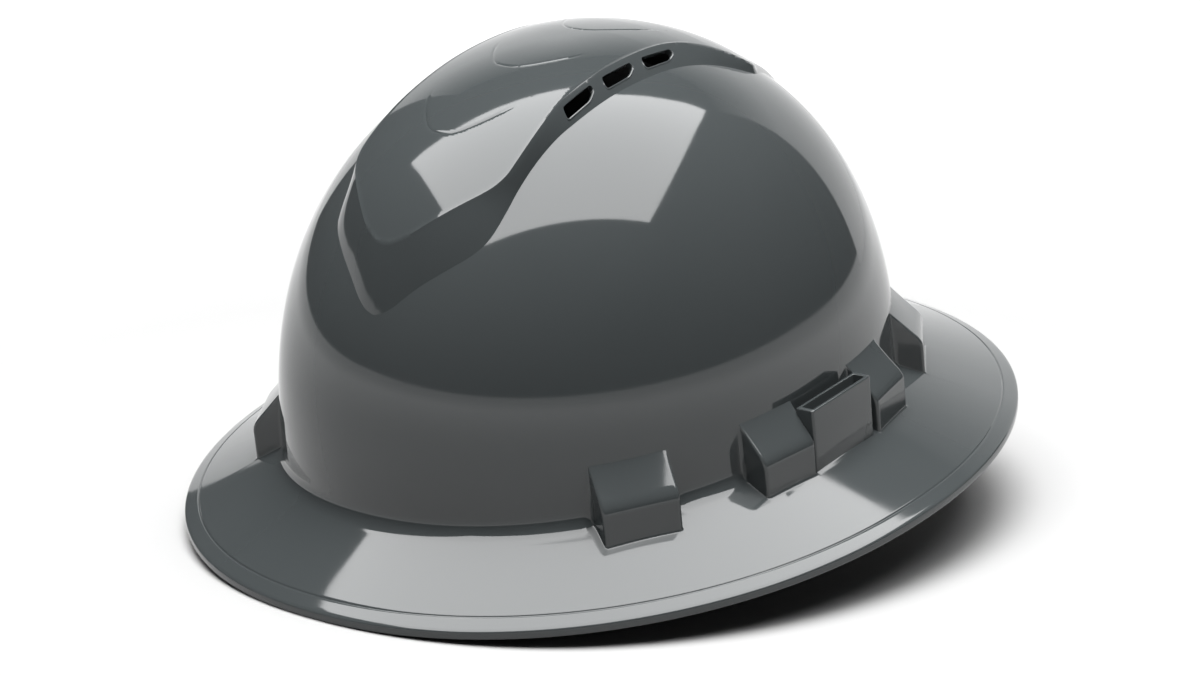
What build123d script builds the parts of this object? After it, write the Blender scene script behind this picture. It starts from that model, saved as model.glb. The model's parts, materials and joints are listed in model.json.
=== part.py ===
from build123d import *
import math
import os

# Full brim hard hat: a vented shell, and under it a strap suspension with a ratchet headband.
# It is drawn as worn, front towards -Y and wearer's left towards +X, with the rim in the plane Z = 0.
# At the end it is tipped onto its front rim and its ratchet, as it stands on a table.

# Rim and brim of the shell
rim_half_width = 142.6
rim_front_reach = 160.9
rim_rear_reach = 163.8
rim_exponent = 2.09
rim_edge_height = 3.0
rim_corner = 0.6
rim_lip_width = 3.0
groove_inset = 5.5
groove_width = 0.7
groove_depth = 0.4

# Dome of the shell
dome_half_width = 100.2
dome_front_reach = 125.4
dome_rear_reach = 120.8
dome_exponent = 2.12
dome_base_height = 18.5
dome_rise = 129.9
dome_profile_power = 2.25
dome_fillet = 7.0
shell_wall = 2.6
cap_angle = 83.0
dome_steps = 11
dome_step_power = 0.85
fillet_steps = 4
ring_points = 32

# Crest: how far along the dome, how wide at the foot and at the top, and how proud each station is
crest_half_width = 35.0
crest_height = 4.8
crest_station_shares = [
    (-0.883, 0.05, 0.03, 0.1),
    (-0.835, 0.50, 0.04, 0.85),
    (-0.753, 0.72, 0.28, 1.0),
    (-0.696, 0.83, 0.54, 1.0),
    (-0.640, 0.885, 0.80, 1.0),
    (-0.500, 0.90, 0.86, 1.0),
    (-0.330, 0.975, 0.84, 1.0),
    (-0.080, 1.0, 0.79, 0.95),
    (0.160, 1.0, 0.80, 0.85),
    (0.350, 0.985, 0.90, 0.60),
    (0.600, 0.91, 0.86, 0.35),
    (0.800, 0.80, 0.76, 0.25),
    (0.920, 0.65, 0.62, 0.12),
]
crest_sink = 6.0
crest_foot_wall_share = 1.3
crest_least_wall_share = 0.2
crest_least_width_share = 0.1

# Vents in the side walls of the crest
vent_length = 16.4
vent_height = 4.8
vent_bridge = 5.3
vent_count = 3
vent_front = -42.3
vent_tilt = 42.0
vent_crest_top_share = 0.79
vent_outline_shares = [(-0.5, -0.5), (0.22, -0.5), (0.5, 0.0), (0.5, 0.5), (-0.46, 0.5)]

# Rolled pockets round the foot of the dome
pocket_depth = 10.0
pocket_face_height = 27.0
pocket_roll_height = 11.3
pocket_roll_bow = 0.3
pocket_wall = 2.3
key_pocket_width = 27.6
side_pocket_width = 24.6
front_pocket_station = -81.3
rear_pocket_station = 78.0
side_pocket_stations = (-29.0, 30.5)
side_bore_width = 15.0
side_bore_stations = (-30.0, 31.5)
pocket_root = 8.0

# Accessory slot between the two side pockets
slot_box_width = 35.2
slot_box_reach = 9.0
slot_box_thickness = 7.2
slot_box_height = 36.8
slot_opening_width = 31.6
slot_opening_gap = 4.6
slot_floor_height = 17.0
slot_web_height = 30.0
slot_station = -0.2

# Suspension keys that plug into the front and rear pockets
fit_gap = 0.3
key_tongue_thickness = 3.5
key_tongue_height = 14.0
key_bridge_thickness = 3.0
key_inner_gap = 1.5
key_leg_thickness = 3.4
key_leg_top = 36.0
key_arm_width = 13.0
key_arm_height = 9.0
key_arm_level = 23.0
key_arm_gap = 0.4

# Studs that hold the headband to the keys at three heights
stud_radius = 2.4
stud_head_radius = 4.6
stud_head_thickness = 1.5
stud_root_depth = 5.0
height_travel = 6.0

# Crown straps
strap_width = 19.0
strap_thickness = 1.4
strap_crown_height = 106.0
strap_layer_gap = 0.9
strap_key_gap = 0.3

# Headband on the head's outline
head_half_width = 83.0
head_half_length = 104.0
band_thickness = 1.6
band_top = 20.0
band_bottom = -8.0
band_rear_end = 76.0
tab_width = 17.0
tab_top = 38.0
tab_slot_margin = 0.25
brow_pad_thickness = 4.0
brow_pad_top = 18.5
brow_pad_bottom = -9.5
brow_pad_end = 12.0
stud_notch_gap = 0.6
layer_gap = 0.3

# Nape straps with their toothed slots
nape_strap_height = 22.0
nape_strap_front = 34.0
nape_strap_front_height = 12.0
nape_strap_front_level = 3.0
nape_strap_overlap = 31.0
nape_strap_slope_start = 70.0
nape_strap_slope_end = 84.0
left_strap_tuck = 1.2
rivet_radius = 1.8
rivet_head_radius = 3.6
rivet_head_thickness = 1.0
rivet_station = 44.0
rivet_reach = 4.9

# Ratchet: pinion and racks
ratchet_level = -19.0
tooth_count = 10
tooth_pitch_radius = 6.25
tooth_addendum = 1.0
tooth_dedendum = 1.3
tooth_backlash = 0.35
rack_flank_share = 0.125
gear_tip_share = 0.5
gear_root_share = 1.5
pinion_end_gap = 0.6
rack_slot_half_length = 27.0

# Ratchet housing, cover, knob
housing_half_width = 38.0
housing_height = 42.0
housing_wall = 2.6
housing_corner = 8.0
cover_thickness = 2.4
cup_radius = 14.6
cup_wall = 2.2
cup_height = 5.0
ratchet_teeth = 24
ratchet_tooth_depth = 1.3
shaft_radius = 4.4
shaft_square = 5.6
detent_thickness = 2.0
detent_hub_radius = 6.0
pawl_width = 1.6
knob_radius = 19.0
knob_top_thickness = 4.0
knob_skirt_wall = 2.6
knob_scallops = 12
knob_scallop_radius = 2.6
knob_scallop_share = 0.45
screw_radius = 1.2
screw_head_radius = 2.0
screw_head_thickness = 1.0
screw_length = 7.0
screw_spread_share = 0.55
screw_level_share = 0.36
nape_pad_thickness = 5.0
nape_pad_margin = 4.0
knob_screw_radius = 1.5
knob_screw_head_radius = 2.9

# One overrun for every cut
overrun = 5.0

# Sizes worked out from those above
rim_centre = (rim_rear_reach - rim_front_reach) / 2
rim_half_length = (rim_rear_reach + rim_front_reach) / 2
dome_centre = (dome_rear_reach - dome_front_reach) / 2
dome_half_length = (dome_rear_reach + dome_front_reach) / 2
brim_slope = math.atan2(dome_base_height, rim_half_width - dome_half_width)
brim_drop = shell_wall / math.cos(brim_slope)
skirt_bottom = dome_base_height - brim_drop
head_rear = dome_centre + head_half_length
pinion_radius = tooth_pitch_radius + tooth_addendum
pinion_root = tooth_pitch_radius - tooth_dedendum
strap_layers = 2 * band_thickness + layer_gap
rack_inset = band_thickness + layer_gap
rack_start = head_rear + rack_inset
housing_inner = rack_inset + strap_layers + layer_gap
cover_outer = rack_inset - layer_gap
cover_inner = cover_outer - cover_thickness
housing_outer = housing_inner + housing_wall
housing_bottom = ratchet_level - housing_height / 2
housing_top = ratchet_level + housing_height / 2


def superellipse_point(half_width, half_length, centre, exponent, turn):
    """One point of a superellipse outline, at a turn in radians."""
    c, s = math.cos(turn), math.sin(turn)
    x = half_width * math.copysign(abs(c) ** (2 / exponent), c)
    y = centre + half_length * math.copysign(abs(s) ** (2 / exponent), s)
    return x, y


def ring(half_width, half_length, centre, exponent, height):
    """A closed level outline."""
    points = []
    for step in range(ring_points):
        turn = 2 * math.pi * step / ring_points
        x, y = superellipse_point(half_width, half_length, centre, exponent, turn)
        points.append((x, y, height))
    return Wire([Edge.make_spline([Vector(*p) for p in points], periodic=True)])


def rim_ring(inset, height):
    return ring(rim_half_width - inset, rim_half_length - inset, rim_centre, rim_exponent, height)


def dome_ring(outset, height):
    return ring(dome_half_width + outset, dome_half_length + outset, dome_centre, dome_exponent, height)


def prism(wire, bottom, height):
    """A level outline drawn at Z = 0, stood up as a solid."""
    return Solid.extrude(Face(wire), Vector(0, 0, height)).moved(Location((0, 0, bottom)))


def dome_height_at(x, y, outset):
    """Height of the dome, or of one standing proud of it by outset, over a point."""
    across = abs(x) / (dome_half_width + outset)
    along = abs(y - dome_centre) / (dome_half_length + outset)
    reach = (across**dome_exponent + along**dome_exponent) ** (1 / dome_exponent)
    left = max(1 - reach**dome_profile_power, 0)
    return dome_base_height + (dome_rise + outset) * left ** (1 / dome_profile_power)


def dome_solid(inset, bottom):
    """The dome as a filled solid from the given height to its small flat top."""
    half_width, half_length = dome_half_width - inset, dome_half_length - inset
    rise = dome_rise - inset
    wires = [ring(half_width, half_length, dome_centre, dome_exponent, dome_base_height)]
    for step in range(1, dome_steps + 1):
        angle = math.radians(cap_angle) * (step / dome_steps) ** dome_step_power
        reach = math.cos(angle) ** (2 / dome_profile_power)
        height = dome_base_height + rise * math.sin(angle) ** (2 / dome_profile_power)
        wires.append(ring(half_width * reach, half_length * reach, dome_centre, dome_exponent, height))
    foot = ring(half_width, half_length, dome_centre, dome_exponent, bottom)
    skirt = Solid.make_loft([foot, wires[0]], True)
    return skirt + Solid.make_loft(wires, False)


def brim_ring(share, lift):
    """An outline on the brim, at a share of the way from the rim to the dome, raised by lift."""
    return ring(
        rim_half_width + (dome_half_width - rim_half_width) * share,
        rim_half_length + (dome_half_length - rim_half_length) * share,
        rim_centre + (dome_centre - rim_centre) * share,
        rim_exponent + (dome_exponent - rim_exponent) * share,
        share * dome_base_height + lift,
    )


def brim_solid():
    """The brim filled down to the rim, with its fine groove and the sweep up to the dome."""
    turn = math.pi / 2 - brim_slope
    tangent = dome_fillet * math.tan(turn / 2)
    start_out = tangent * math.cos(brim_slope)
    start_up = -tangent * math.sin(brim_slope)
    brim_width = rim_half_width - dome_half_width
    groove_outer = (groove_inset - groove_width / 2) / brim_width
    groove_inner = (groove_inset + groove_width / 2) / brim_width
    layers = [
        rim_ring(rim_corner, -rim_edge_height),
        rim_ring(0, rim_corner - rim_edge_height),
        rim_ring(0, -rim_corner),
        rim_ring(rim_corner, rim_corner * math.tan(brim_slope)),
        brim_ring(groove_outer, 0),
        brim_ring(groove_outer, -groove_depth),
        brim_ring(groove_inner, -groove_depth),
        brim_ring(groove_inner, 0),
        dome_ring(start_out, dome_base_height + start_up),
    ]
    sweep = []
    for step in range(fillet_steps + 1):
        angle = brim_slope + turn * step / fillet_steps
        out = dome_fillet * (1 - math.sin(angle))
        up = tangent - dome_fillet * math.cos(angle)
        sweep.append(dome_ring(out, dome_base_height + up))
    return Solid.make_loft(layers, True) + Solid.make_loft(sweep, False)


def under_solid():
    """The space under the shell: the underside of the brim and the inside of the dome."""
    lip_rise = rim_lip_width * math.tan(brim_slope) - brim_drop
    layers = [
        rim_ring(rim_lip_width, -rim_edge_height - overrun),
        rim_ring(rim_lip_width, lip_rise),
        dome_ring(-shell_wall, skirt_bottom + shell_wall * math.tan(brim_slope)),
    ]
    foot = skirt_bottom + shell_wall * math.tan(brim_slope)
    return Solid.make_loft(layers, True) + dome_solid(shell_wall, foot)


def crest_stations():
    """Place, half widths and height of the crest's stations, in millimetres."""
    for along, foot, top, proud in crest_station_shares:
        yield (
            dome_centre + along * dome_half_length,
            foot * crest_half_width,
            top * crest_half_width,
            proud * crest_height,
        )


def crest_solid(inset, sink):
    """The crest, or the hollow inside it when inset is a wall."""
    wires = []
    for y, foot, top, proud in crest_stations():
        foot_least = inset * crest_least_wall_share + foot * crest_least_width_share
        foot_half = max(foot - inset * crest_foot_wall_share, foot_least)
        top_least = (inset + top) * crest_least_width_share
        top_half = max(top - inset, top_least)
        foot_height = dome_height_at(foot_half, y, -inset)
        top_height = dome_height_at(top_half, y, proud - inset)
        ridge_height = dome_height_at(0, y, proud - inset)
        low = dome_height_at(foot_half, y, -inset) - sink
        points = [
            (-foot_half, y, low),
            (-foot_half, y, foot_height),
            (-top_half, y, top_height),
            (0, y, ridge_height),
            (top_half, y, top_height),
            (foot_half, y, foot_height),
            (foot_half, y, low),
        ]
        wires.append(Wire.make_polygon([Vector(*p) for p in points], close=True))
    return Solid.make_loft(wires, True)


def dome_place(station, side, outset):
    """Point on the foot of the dome at a station along Y, and the bearing of its outward normal."""
    along = (station - dome_centre) / dome_half_length
    across = (1 - abs(along) ** dome_exponent) ** (1 / dome_exponent)
    slope_x = across ** (dome_exponent - 1) / dome_half_width
    slope_y = math.copysign(abs(along) ** (dome_exponent - 1), along) / dome_half_length
    bearing = math.degrees(math.atan2(slope_y, slope_x))
    if side < 0:
        bearing = 180 - bearing
    turn = math.radians(bearing)
    x = side * across * dome_half_width + outset * math.cos(turn)
    y = station + outset * math.sin(turn)
    return x, y, bearing


def at_dome(shape, station, side):
    """Move a shape drawn with +X outwards to its station on the foot of the dome."""
    x, y, bearing = dome_place(station, side, 0)
    return Pos(x, y, 0) * Rot(0, 0, bearing) * shape


def across_extrude(face, width):
    """A face in the plane Y = 0, made as wide as given and centred on it."""
    return extrude(face, amount=width / 2, dir=(0, 1, 0), both=True)


def rolled_profile(inset, foot, low):
    """Side view of a pocket: flat outer face and a slightly bowed slope up to the dome."""
    reach = pocket_depth - inset
    turn = math.atan2(pocket_depth, pocket_roll_height)
    level = pocket_face_height - inset * math.tan(turn / 2)
    rise = pocket_roll_height * reach / pocket_depth
    points = [
        (-pocket_root, 0, level + rise),
        (-pocket_root, 0, foot),
        (0, 0, foot),
        (reach, 0, low),
        (reach, 0, level),
    ]
    outline = [Edge.make_line(Vector(*a), Vector(*b)) for a, b in zip(points, points[1:])]
    top = Vector(0, 0, level + rise)
    bow = Vector(math.cos(turn), 0, math.sin(turn)) * pocket_roll_bow
    middle = Vector(reach / 2, 0, level + rise / 2) + bow
    outline.append(Edge.make_three_point_arc(Vector(*points[-1]), middle, top))
    outline.append(Edge.make_line(top, Vector(*points[0])))
    return Face(Wire(outline))


def pocket_solid(width):
    """A pocket before it is hollowed; its foot ends inside the brim."""
    foot = dome_base_height - brim_drop / 2
    low = foot - pocket_depth * math.tan(brim_slope)
    return across_extrude(rolled_profile(0, foot, low), width)


def pocket_bore(width):
    """The hollow of a pocket, open through the brim; it is kept off the dome when cut."""
    return across_extrude(rolled_profile(pocket_wall, -overrun, -overrun), width)


def slot_box():
    """The upright box of an accessory slot, with a web that ties it to the dome."""
    low = dome_base_height - brim_drop / 2 - slot_box_reach * math.tan(brim_slope)
    height = slot_box_height - low
    inner = slot_box_reach - slot_box_thickness
    box = Pos(inner, 0, low) * Box(
        slot_box_thickness, slot_box_width, height, align=(Align.MIN, Align.CENTER, Align.MIN)
    )
    web_foot = dome_base_height - brim_drop / 2
    web = Pos(-pocket_root, 0, web_foot) * Box(
        pocket_root + slot_box_reach - overrun / 2,
        slot_box_width,
        slot_web_height - web_foot,
        align=(Align.MIN, Align.CENTER, Align.MIN),
    )
    return box + web


def slot_cut():
    centre = slot_box_reach - slot_box_thickness / 2
    return Pos(centre, 0, slot_floor_height) * Box(
        slot_opening_gap,
        slot_opening_width,
        slot_box_height + overrun - slot_floor_height,
        align=(Align.CENTER, Align.CENTER, Align.MIN),
    )


def vent_cuts():
    """The vents of both sides, each square to the crest's side wall."""
    cuts = []
    for number in range(vent_count):
        y = vent_front + vent_length / 2 + number * (vent_length + vent_bridge)
        foot = crest_half_width
        top = crest_half_width * vent_crest_top_share
        x = (foot + top) / 2
        foot_height = dome_height_at(foot, y, 0)
        top_height = dome_height_at(top, y, crest_height)
        z = (foot_height + top_height) / 2
        outline = [
            (-height * vent_height, -along * vent_length) for along, height in vent_outline_shares
        ]
        for side in (1, -1):
            corners = [Vector(side * u, -v, 0) for u, v in outline]
            face = Face(Wire.make_polygon(corners, close=True))
            cut = Solid.extrude(face, Vector(0, 0, 2 * overrun + 2 * shell_wall))
            cut = Pos(0, 0, -overrun - 2 * shell_wall) * cut
            cuts.append(Pos(side * x, y, z) * Rot(0, side * vent_tilt, 0) * cut)
    return cuts


def make_shell():
    """The one-piece shell: dome, brim, crest, vents, pockets and accessory slots."""
    dome = dome_solid(0, skirt_bottom)
    core = dome_solid(shell_wall / 2, -overrun)
    shell = brim_solid() + dome - under_solid()
    shell += crest_solid(0, crest_sink) - core
    shell -= crest_solid(shell_wall, crest_sink + shell_wall)
    pocket_list = [(front_pocket_station, key_pocket_width), (rear_pocket_station, key_pocket_width)]
    pocket_list += [(station, side_pocket_width) for station in side_pocket_stations]
    for side in (1, -1):
        for station, width in pocket_list:
            shell += at_dome(pocket_solid(width), station, side) - core
        shell += at_dome(slot_box(), slot_station, side) - core
    wall_keeper = dome + prism(dome_ring(0, 0), -overrun, skirt_bottom + 2 * overrun)
    bores = [(front_pocket_station, key_pocket_width - 2 * pocket_wall)]
    bores.append((rear_pocket_station, key_pocket_width - 2 * pocket_wall))
    bores += [(station, side_bore_width) for station in side_bore_stations]
    for side in (1, -1):
        for station, width in bores:
            shell -= at_dome(pocket_bore(width), station, side) - wall_keeper
        shell -= at_dome(slot_cut(), slot_station, side)
    for cut in vent_cuts():
        shell -= cut
    return shell


def block(x0, x1, half_width, z0, z1):
    """A box given by its reach outwards, its half width and its heights."""
    return Pos((x0 + x1) / 2, 0, (z0 + z1) / 2) * Box(x1 - x0, 2 * half_width, z1 - z0)


def head_point(station, outset):
    """X on the head's outline, standing off it by outset, at a station along Y."""
    half_width, half_length = head_half_width + outset, head_half_length + outset
    return half_width * math.sqrt(1 - ((station - dome_centre) / half_length) ** 2)


def head_distance(station, side):
    """Distance inwards from the foot of the dome to the headband's outer face, along the normal."""
    x, y, bearing = dome_place(station, side, 0)
    turn = math.radians(bearing)
    a, b = head_half_width + band_thickness, head_half_length + band_thickness
    ux, uy = -math.cos(turn), -math.sin(turn)
    px, py = x, y - dome_centre
    qa = (ux / a) ** 2 + (uy / b) ** 2
    qb = 2 * (px * ux / a**2 + py * uy / b**2)
    qc = (px / a) ** 2 + (py / b) ** 2 - 1
    return (-qb - math.sqrt(qb**2 - 4 * qa * qc)) / (2 * qa)


def make_key(station, side):
    """A key: a tongue in the pocket, a bridge under the wall, a leg inside and an arm to the stud."""
    half = (key_pocket_width - 2 * pocket_wall) / 2 - fit_gap
    bridge_top = skirt_bottom - fit_gap
    bridge_bottom = bridge_top - key_bridge_thickness
    leg_outer = -shell_wall - key_inner_gap
    leg_inner = leg_outer - key_leg_thickness
    tongue = block(fit_gap, fit_gap + key_tongue_thickness, half, bridge_bottom, bridge_top + key_tongue_height)
    bridge = block(leg_inner, fit_gap + key_tongue_thickness, half, bridge_bottom, bridge_top)
    leg = block(leg_inner, leg_outer, half, bridge_bottom, key_leg_top)
    arm_end = -head_distance(station, side) + key_arm_gap
    arm = block(
        arm_end,
        leg_inner + key_leg_thickness / 2,
        key_arm_width / 2,
        key_arm_level - key_arm_height / 2,
        key_arm_level + key_arm_height / 2,
    )
    root = Pos(arm_end - overrun, 0, key_arm_level) * Rot(0, 90, 0) * Cylinder(
        stud_radius,
        overrun + stud_root_depth,
        align=(Align.CENTER, Align.CENTER, Align.MIN),
    )
    key = tongue + bridge + leg + arm - root
    return at_dome(key, station, side)


def make_stud(station, side):
    """A push-in stud whose head holds the headband's tab to the key."""
    arm_end = -head_distance(station, side) + key_arm_gap
    head_outer = arm_end - key_arm_gap - band_thickness - 2 * layer_gap
    shank = Pos(head_outer, 0, key_arm_level) * Rot(0, 90, 0) * Cylinder(
        stud_radius,
        arm_end - head_outer + stud_root_depth,
        align=(Align.CENTER, Align.CENTER, Align.MIN),
    )
    head = Pos(head_outer - stud_head_thickness, 0, key_arm_level) * Rot(0, 90, 0) * Cylinder(
        stud_head_radius,
        stud_head_thickness,
        align=(Align.CENTER, Align.CENTER, Align.MIN),
    )
    return at_dome(shank + head, station, side)


def head_ring(inner, outer, bottom, top, x_extra=0.0):
    """A level ring between two outlines that stand off the head's outline."""
    outside = Ellipse(head_half_width + outer + x_extra, head_half_length + outer)
    inside = Ellipse(head_half_width + inner + x_extra, head_half_length + inner)
    return extrude(Pos(0, dome_centre, bottom) * (outside - inside), amount=top - bottom)


def side_view(points):
    """A side-view outline, given as Y and Z, stood up across the whole hat."""
    face = Face(Wire.make_polygon([Vector(0, y, z) for y, z in points], close=True))
    return extrude(face, amount=rim_half_width, dir=(1, 0, 0), both=True)


def make_headband():
    """The headband: a band open at the rear, with four slotted tabs up to the studs."""
    front = -rim_front_reach
    outline = [(front, band_bottom), (band_rear_end, band_bottom), (band_rear_end, band_top), (front, band_top)]
    band = head_ring(0, band_thickness, band_bottom, band_top) & side_view(outline)
    tab_zone = head_ring(0, band_thickness, band_top, tab_top)
    for station in (front_pocket_station, rear_pocket_station):
        for side in (1, -1):
            reach = -head_distance(station, side)
            tab = block(reach - 2 * overrun, reach + overrun, tab_width / 2, band_bottom, tab_top)
            slot_low = key_arm_level - height_travel - stud_radius - tab_slot_margin
            slot_high = key_arm_level + height_travel + stud_radius + tab_slot_margin
            slot = block(
                reach - 2 * overrun, reach + overrun, stud_radius + tab_slot_margin, slot_low, slot_high
            )
            band += tab_zone & at_dome(tab, station, side)
            band -= at_dome(slot, station, side)
    return band


def make_brow_pad():
    """The sweatband inside the front of the headband, notched round the two front studs."""
    front = -rim_front_reach
    outline = [
        (front, brow_pad_bottom),
        (brow_pad_end, brow_pad_bottom),
        (brow_pad_end, brow_pad_top),
        (front, brow_pad_top),
    ]
    inner, outer = -layer_gap - brow_pad_thickness, -layer_gap
    pad = head_ring(inner, outer, brow_pad_bottom, brow_pad_top) & side_view(outline)
    notch_half = stud_head_radius + stud_notch_gap
    notch_low = key_arm_level - height_travel - notch_half
    for side in (1, -1):
        reach = -head_distance(front_pocket_station, side)
        notch = block(reach - 2 * overrun, reach + overrun, notch_half, notch_low, tab_top)
        pad -= at_dome(notch, front_pocket_station, side)
    return pad


def make_crown_strap(front_side, layer):
    """A strap from a front key over the crown to the rear key of the other side."""
    foot_outset = strap_thickness / 2 - shell_wall - key_inner_gap - key_leg_thickness
    x0, y0, _ = dome_place(front_pocket_station, front_side, foot_outset)
    x1, y1, _ = dome_place(rear_pocket_station, -front_side, foot_outset)
    half_span = math.hypot(x1 - x0, y1 - y0) / 2
    bearing = math.degrees(math.atan2(y1 - y0, x1 - x0))
    foot = key_leg_top + strap_key_gap
    drop = layer * (strap_thickness + strap_layer_gap)
    rise = strap_crown_height - drop - foot
    half = strap_thickness / 2
    outer = Ellipse(half_span + half, rise)
    inner = Ellipse(half_span - half, rise - strap_thickness)
    arch = (outer - inner) & Pos(0, rise) * Rectangle(4 * half_span, 2 * rise)
    arch = extrude(Plane.XZ * arch, amount=strap_width / 2, both=True)
    return Pos((x0 + x1) / 2, (y0 + y1) / 2, foot) * Rot(0, 0, bearing) * arch


def nape_outline():
    """Side view of a nape strap: level by the headband, down behind, level at the ratchet."""
    front_half = nape_strap_front_height / 2
    rear_half = nape_strap_height / 2
    rear = rim_rear_reach
    return [
        (nape_strap_front, nape_strap_front_level + front_half),
        (nape_strap_front, nape_strap_front_level - front_half),
        (nape_strap_slope_start - nape_strap_height / 2, nape_strap_front_level - front_half),
        (nape_strap_slope_end, ratchet_level - rear_half),
        (rear, ratchet_level - rear_half),
        (rear, ratchet_level + rear_half),
        (nape_strap_slope_end, ratchet_level + rear_half),
        (nape_strap_slope_start, nape_strap_front_level + front_half),
    ]


def rack_window(top_teeth):
    """The slot in a nape strap, with rack teeth along one edge, as a cutter along Y."""
    pitch = 2 * math.pi * tooth_pitch_radius / tooth_count
    root = tooth_pitch_radius + tooth_dedendum
    tip = tooth_pitch_radius - tooth_addendum
    plain = pinion_radius + fit_gap
    flank = pitch * rack_flank_share
    count = int(rack_slot_half_length / pitch)
    points = [(-rack_slot_half_length, -plain), (rack_slot_half_length, -plain)]
    edge = []
    for number in range(count, -count - 1, -1):
        gap_middle = number * pitch
        half_gap = pitch / 4 + tooth_backlash / 2
        edge.append((gap_middle + half_gap + flank, tip))
        edge.append((gap_middle + half_gap - flank, root))
        edge.append((gap_middle - half_gap + flank, root))
        edge.append((gap_middle - half_gap - flank, tip))
    points += [(rack_slot_half_length, tip)] + edge + [(-rack_slot_half_length, tip)]
    sign = 1 if top_teeth else -1
    corners = [Vector(x, 0, ratchet_level + sign * z) for x, z in points]
    face = Face(Wire.make_polygon(corners, close=True))
    return Solid.extrude(face, Vector(0, rim_rear_reach, 0))


def make_nape_strap(side):
    """A nape strap that crosses the middle inside the ratchet; the left one lies outside."""
    if side > 0:
        inner, x_extra = rack_inset + band_thickness + layer_gap, -left_strap_tuck
    else:
        inner, x_extra = rack_inset, 0.0
    band = head_ring(inner, inner + band_thickness, housing_bottom, band_top, x_extra)
    strap = band & side_view(nape_outline())
    reach = 2 * head_half_width
    keep = Box(
        reach + nape_strap_overlap,
        2 * rim_rear_reach,
        2 * reach,
        align=(Align.MIN, Align.MIN, Align.CENTER),
    )
    keep = Pos(-nape_strap_overlap, 0, 0) * keep
    if side < 0:
        keep = mirror(keep, Plane.YZ)
    strap = strap & keep
    strap -= rack_window(side > 0)
    return strap - Compound(rivet_shapes(side, fit_gap / 3))


def rivet_shapes(side, gap):
    """The rivet that joins a nape strap to the headband, or its hole when gap is given."""
    y = rivet_station
    x = head_point(y, 0)
    a, b = head_half_width, head_half_length
    turn = math.degrees(math.atan2((y - dome_centre) / b**2, x / a**2))
    bearing = turn if side > 0 else 180 - turn
    inner = -layer_gap / 2 - rivet_head_thickness
    outer = rivet_reach if side > 0 else rack_inset + band_thickness + layer_gap / 2
    base = Pos(side * x, y, nape_strap_front_level) * Rot(0, 0, bearing)
    low = (Align.CENTER, Align.CENTER, Align.MIN)
    shank = Pos(inner, 0, 0) * Rot(0, 90, 0) * Cylinder(rivet_radius + gap, outer - inner, align=low)
    if gap > 0:
        return [base * shank]
    inner_head = Pos(inner, 0, 0) * Rot(0, 90, 0) * Cylinder(
        rivet_head_radius, rivet_head_thickness, align=low
    )
    outer_head = Pos(outer, 0, 0) * Rot(0, 90, 0) * Cylinder(
        rivet_head_radius, rivet_head_thickness, align=low
    )
    return [base * (shank + inner_head + outer_head)]


def rounded_rear_view(half_width, bottom, top, corner, front):
    """A rounded rectangle seen from behind, as a prism from front to the rear rim."""
    sketch = RectangleRounded(2 * half_width, top - bottom, corner)
    body = extrude(Plane.XZ * sketch, amount=-(rim_rear_reach - front))
    return Pos(0, front, (bottom + top) / 2) * body


def screw_places():
    """X and Z of the four housing screws."""
    x = screw_spread_share * housing_half_width
    z = screw_level_share * housing_height
    return [(sx * x, ratchet_level + sz * z) for sx in (1, -1) for sz in (1, -1)]


def rear_cylinder(radius, start, length, x=0.0, z=ratchet_level):
    """A cylinder along Y, from a start outwards to the rear."""
    body = Cylinder(radius, length, align=(Align.CENTER, Align.CENTER, Align.MIN))
    return Pos(x, start, z) * Rot(-90, 0, 0) * body


def screw_start(x):
    """Y where a screw's head starts, sunk in the inner face of the cover."""
    return cover_face(abs(x) - screw_head_radius)


def cover_face(x):
    """Y of the inner face of the cover."""
    half_width, half_length = head_half_width + cover_inner, head_half_length + cover_inner
    return dome_centre + half_length * math.sqrt(1 - (x / half_width) ** 2)


def make_housing():
    """The ratchet's outer casing, with a channel for both nape straps and a toothed cup."""
    band = head_ring(cover_outer, housing_outer, housing_bottom, housing_top)
    view = rounded_rear_view(housing_half_width, housing_bottom, housing_top, housing_corner, 0)
    body = band & view
    channel_half = nape_strap_height / 2 + fit_gap
    channel = head_ring(
        -overrun, housing_inner, ratchet_level - channel_half, ratchet_level + channel_half
    )
    body -= channel & rounded_rear_view(
        2 * housing_half_width, housing_bottom, housing_top, housing_corner, 0
    )
    face = head_rear + housing_outer
    cup = rear_cylinder(cup_radius, face - housing_wall / 2, cup_height + housing_wall / 2)
    cup_bore = ratchet_ring_outline()
    cup -= Pos(0, face, 0) * cup_bore
    body += cup
    body -= rear_cylinder(shaft_radius + fit_gap, head_rear, cup_height + housing_outer)
    for x, z in screw_places():
        body -= rear_cylinder(screw_radius, screw_start(x), screw_length, x, z)
    return body


def ratchet_ring_outline():
    """The toothed bore of the cup, as a cutter from Y = 0 to the rear."""
    root = cup_radius - cup_wall
    tip = root - ratchet_tooth_depth
    points = []
    for number in range(ratchet_teeth):
        turn = 2 * math.pi * number / ratchet_teeth
        half = math.pi / ratchet_teeth
        points.append((tip * math.sin(turn), tip * math.cos(turn)))
        points.append((root * math.sin(turn + half), root * math.cos(turn + half)))
    corners = [Vector(x, 0, ratchet_level + z) for x, z in points]
    return Solid.extrude(Face(Wire.make_polygon(corners, close=True)), Vector(0, cup_height + overrun, 0))


def make_cover():
    """The inner plate that closes the ratchet towards the head."""
    band = head_ring(cover_inner, cover_outer, housing_bottom, housing_top)
    cover = band & rounded_rear_view(housing_half_width, housing_bottom, housing_top, housing_corner, 0)
    for x, z in screw_places():
        cover -= rear_cylinder(screw_radius, screw_start(x) - overrun, 2 * screw_length, x, z)
        cover -= rear_cylinder(
            screw_head_radius + fit_gap / 3, screw_start(x) - overrun, overrun + screw_head_thickness, x, z
        )
    start = head_rear + cover_inner - overrun
    cover -= rear_cylinder(knob_screw_head_radius + fit_gap, start, 2 * overrun + cover_thickness)
    return cover


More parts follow.
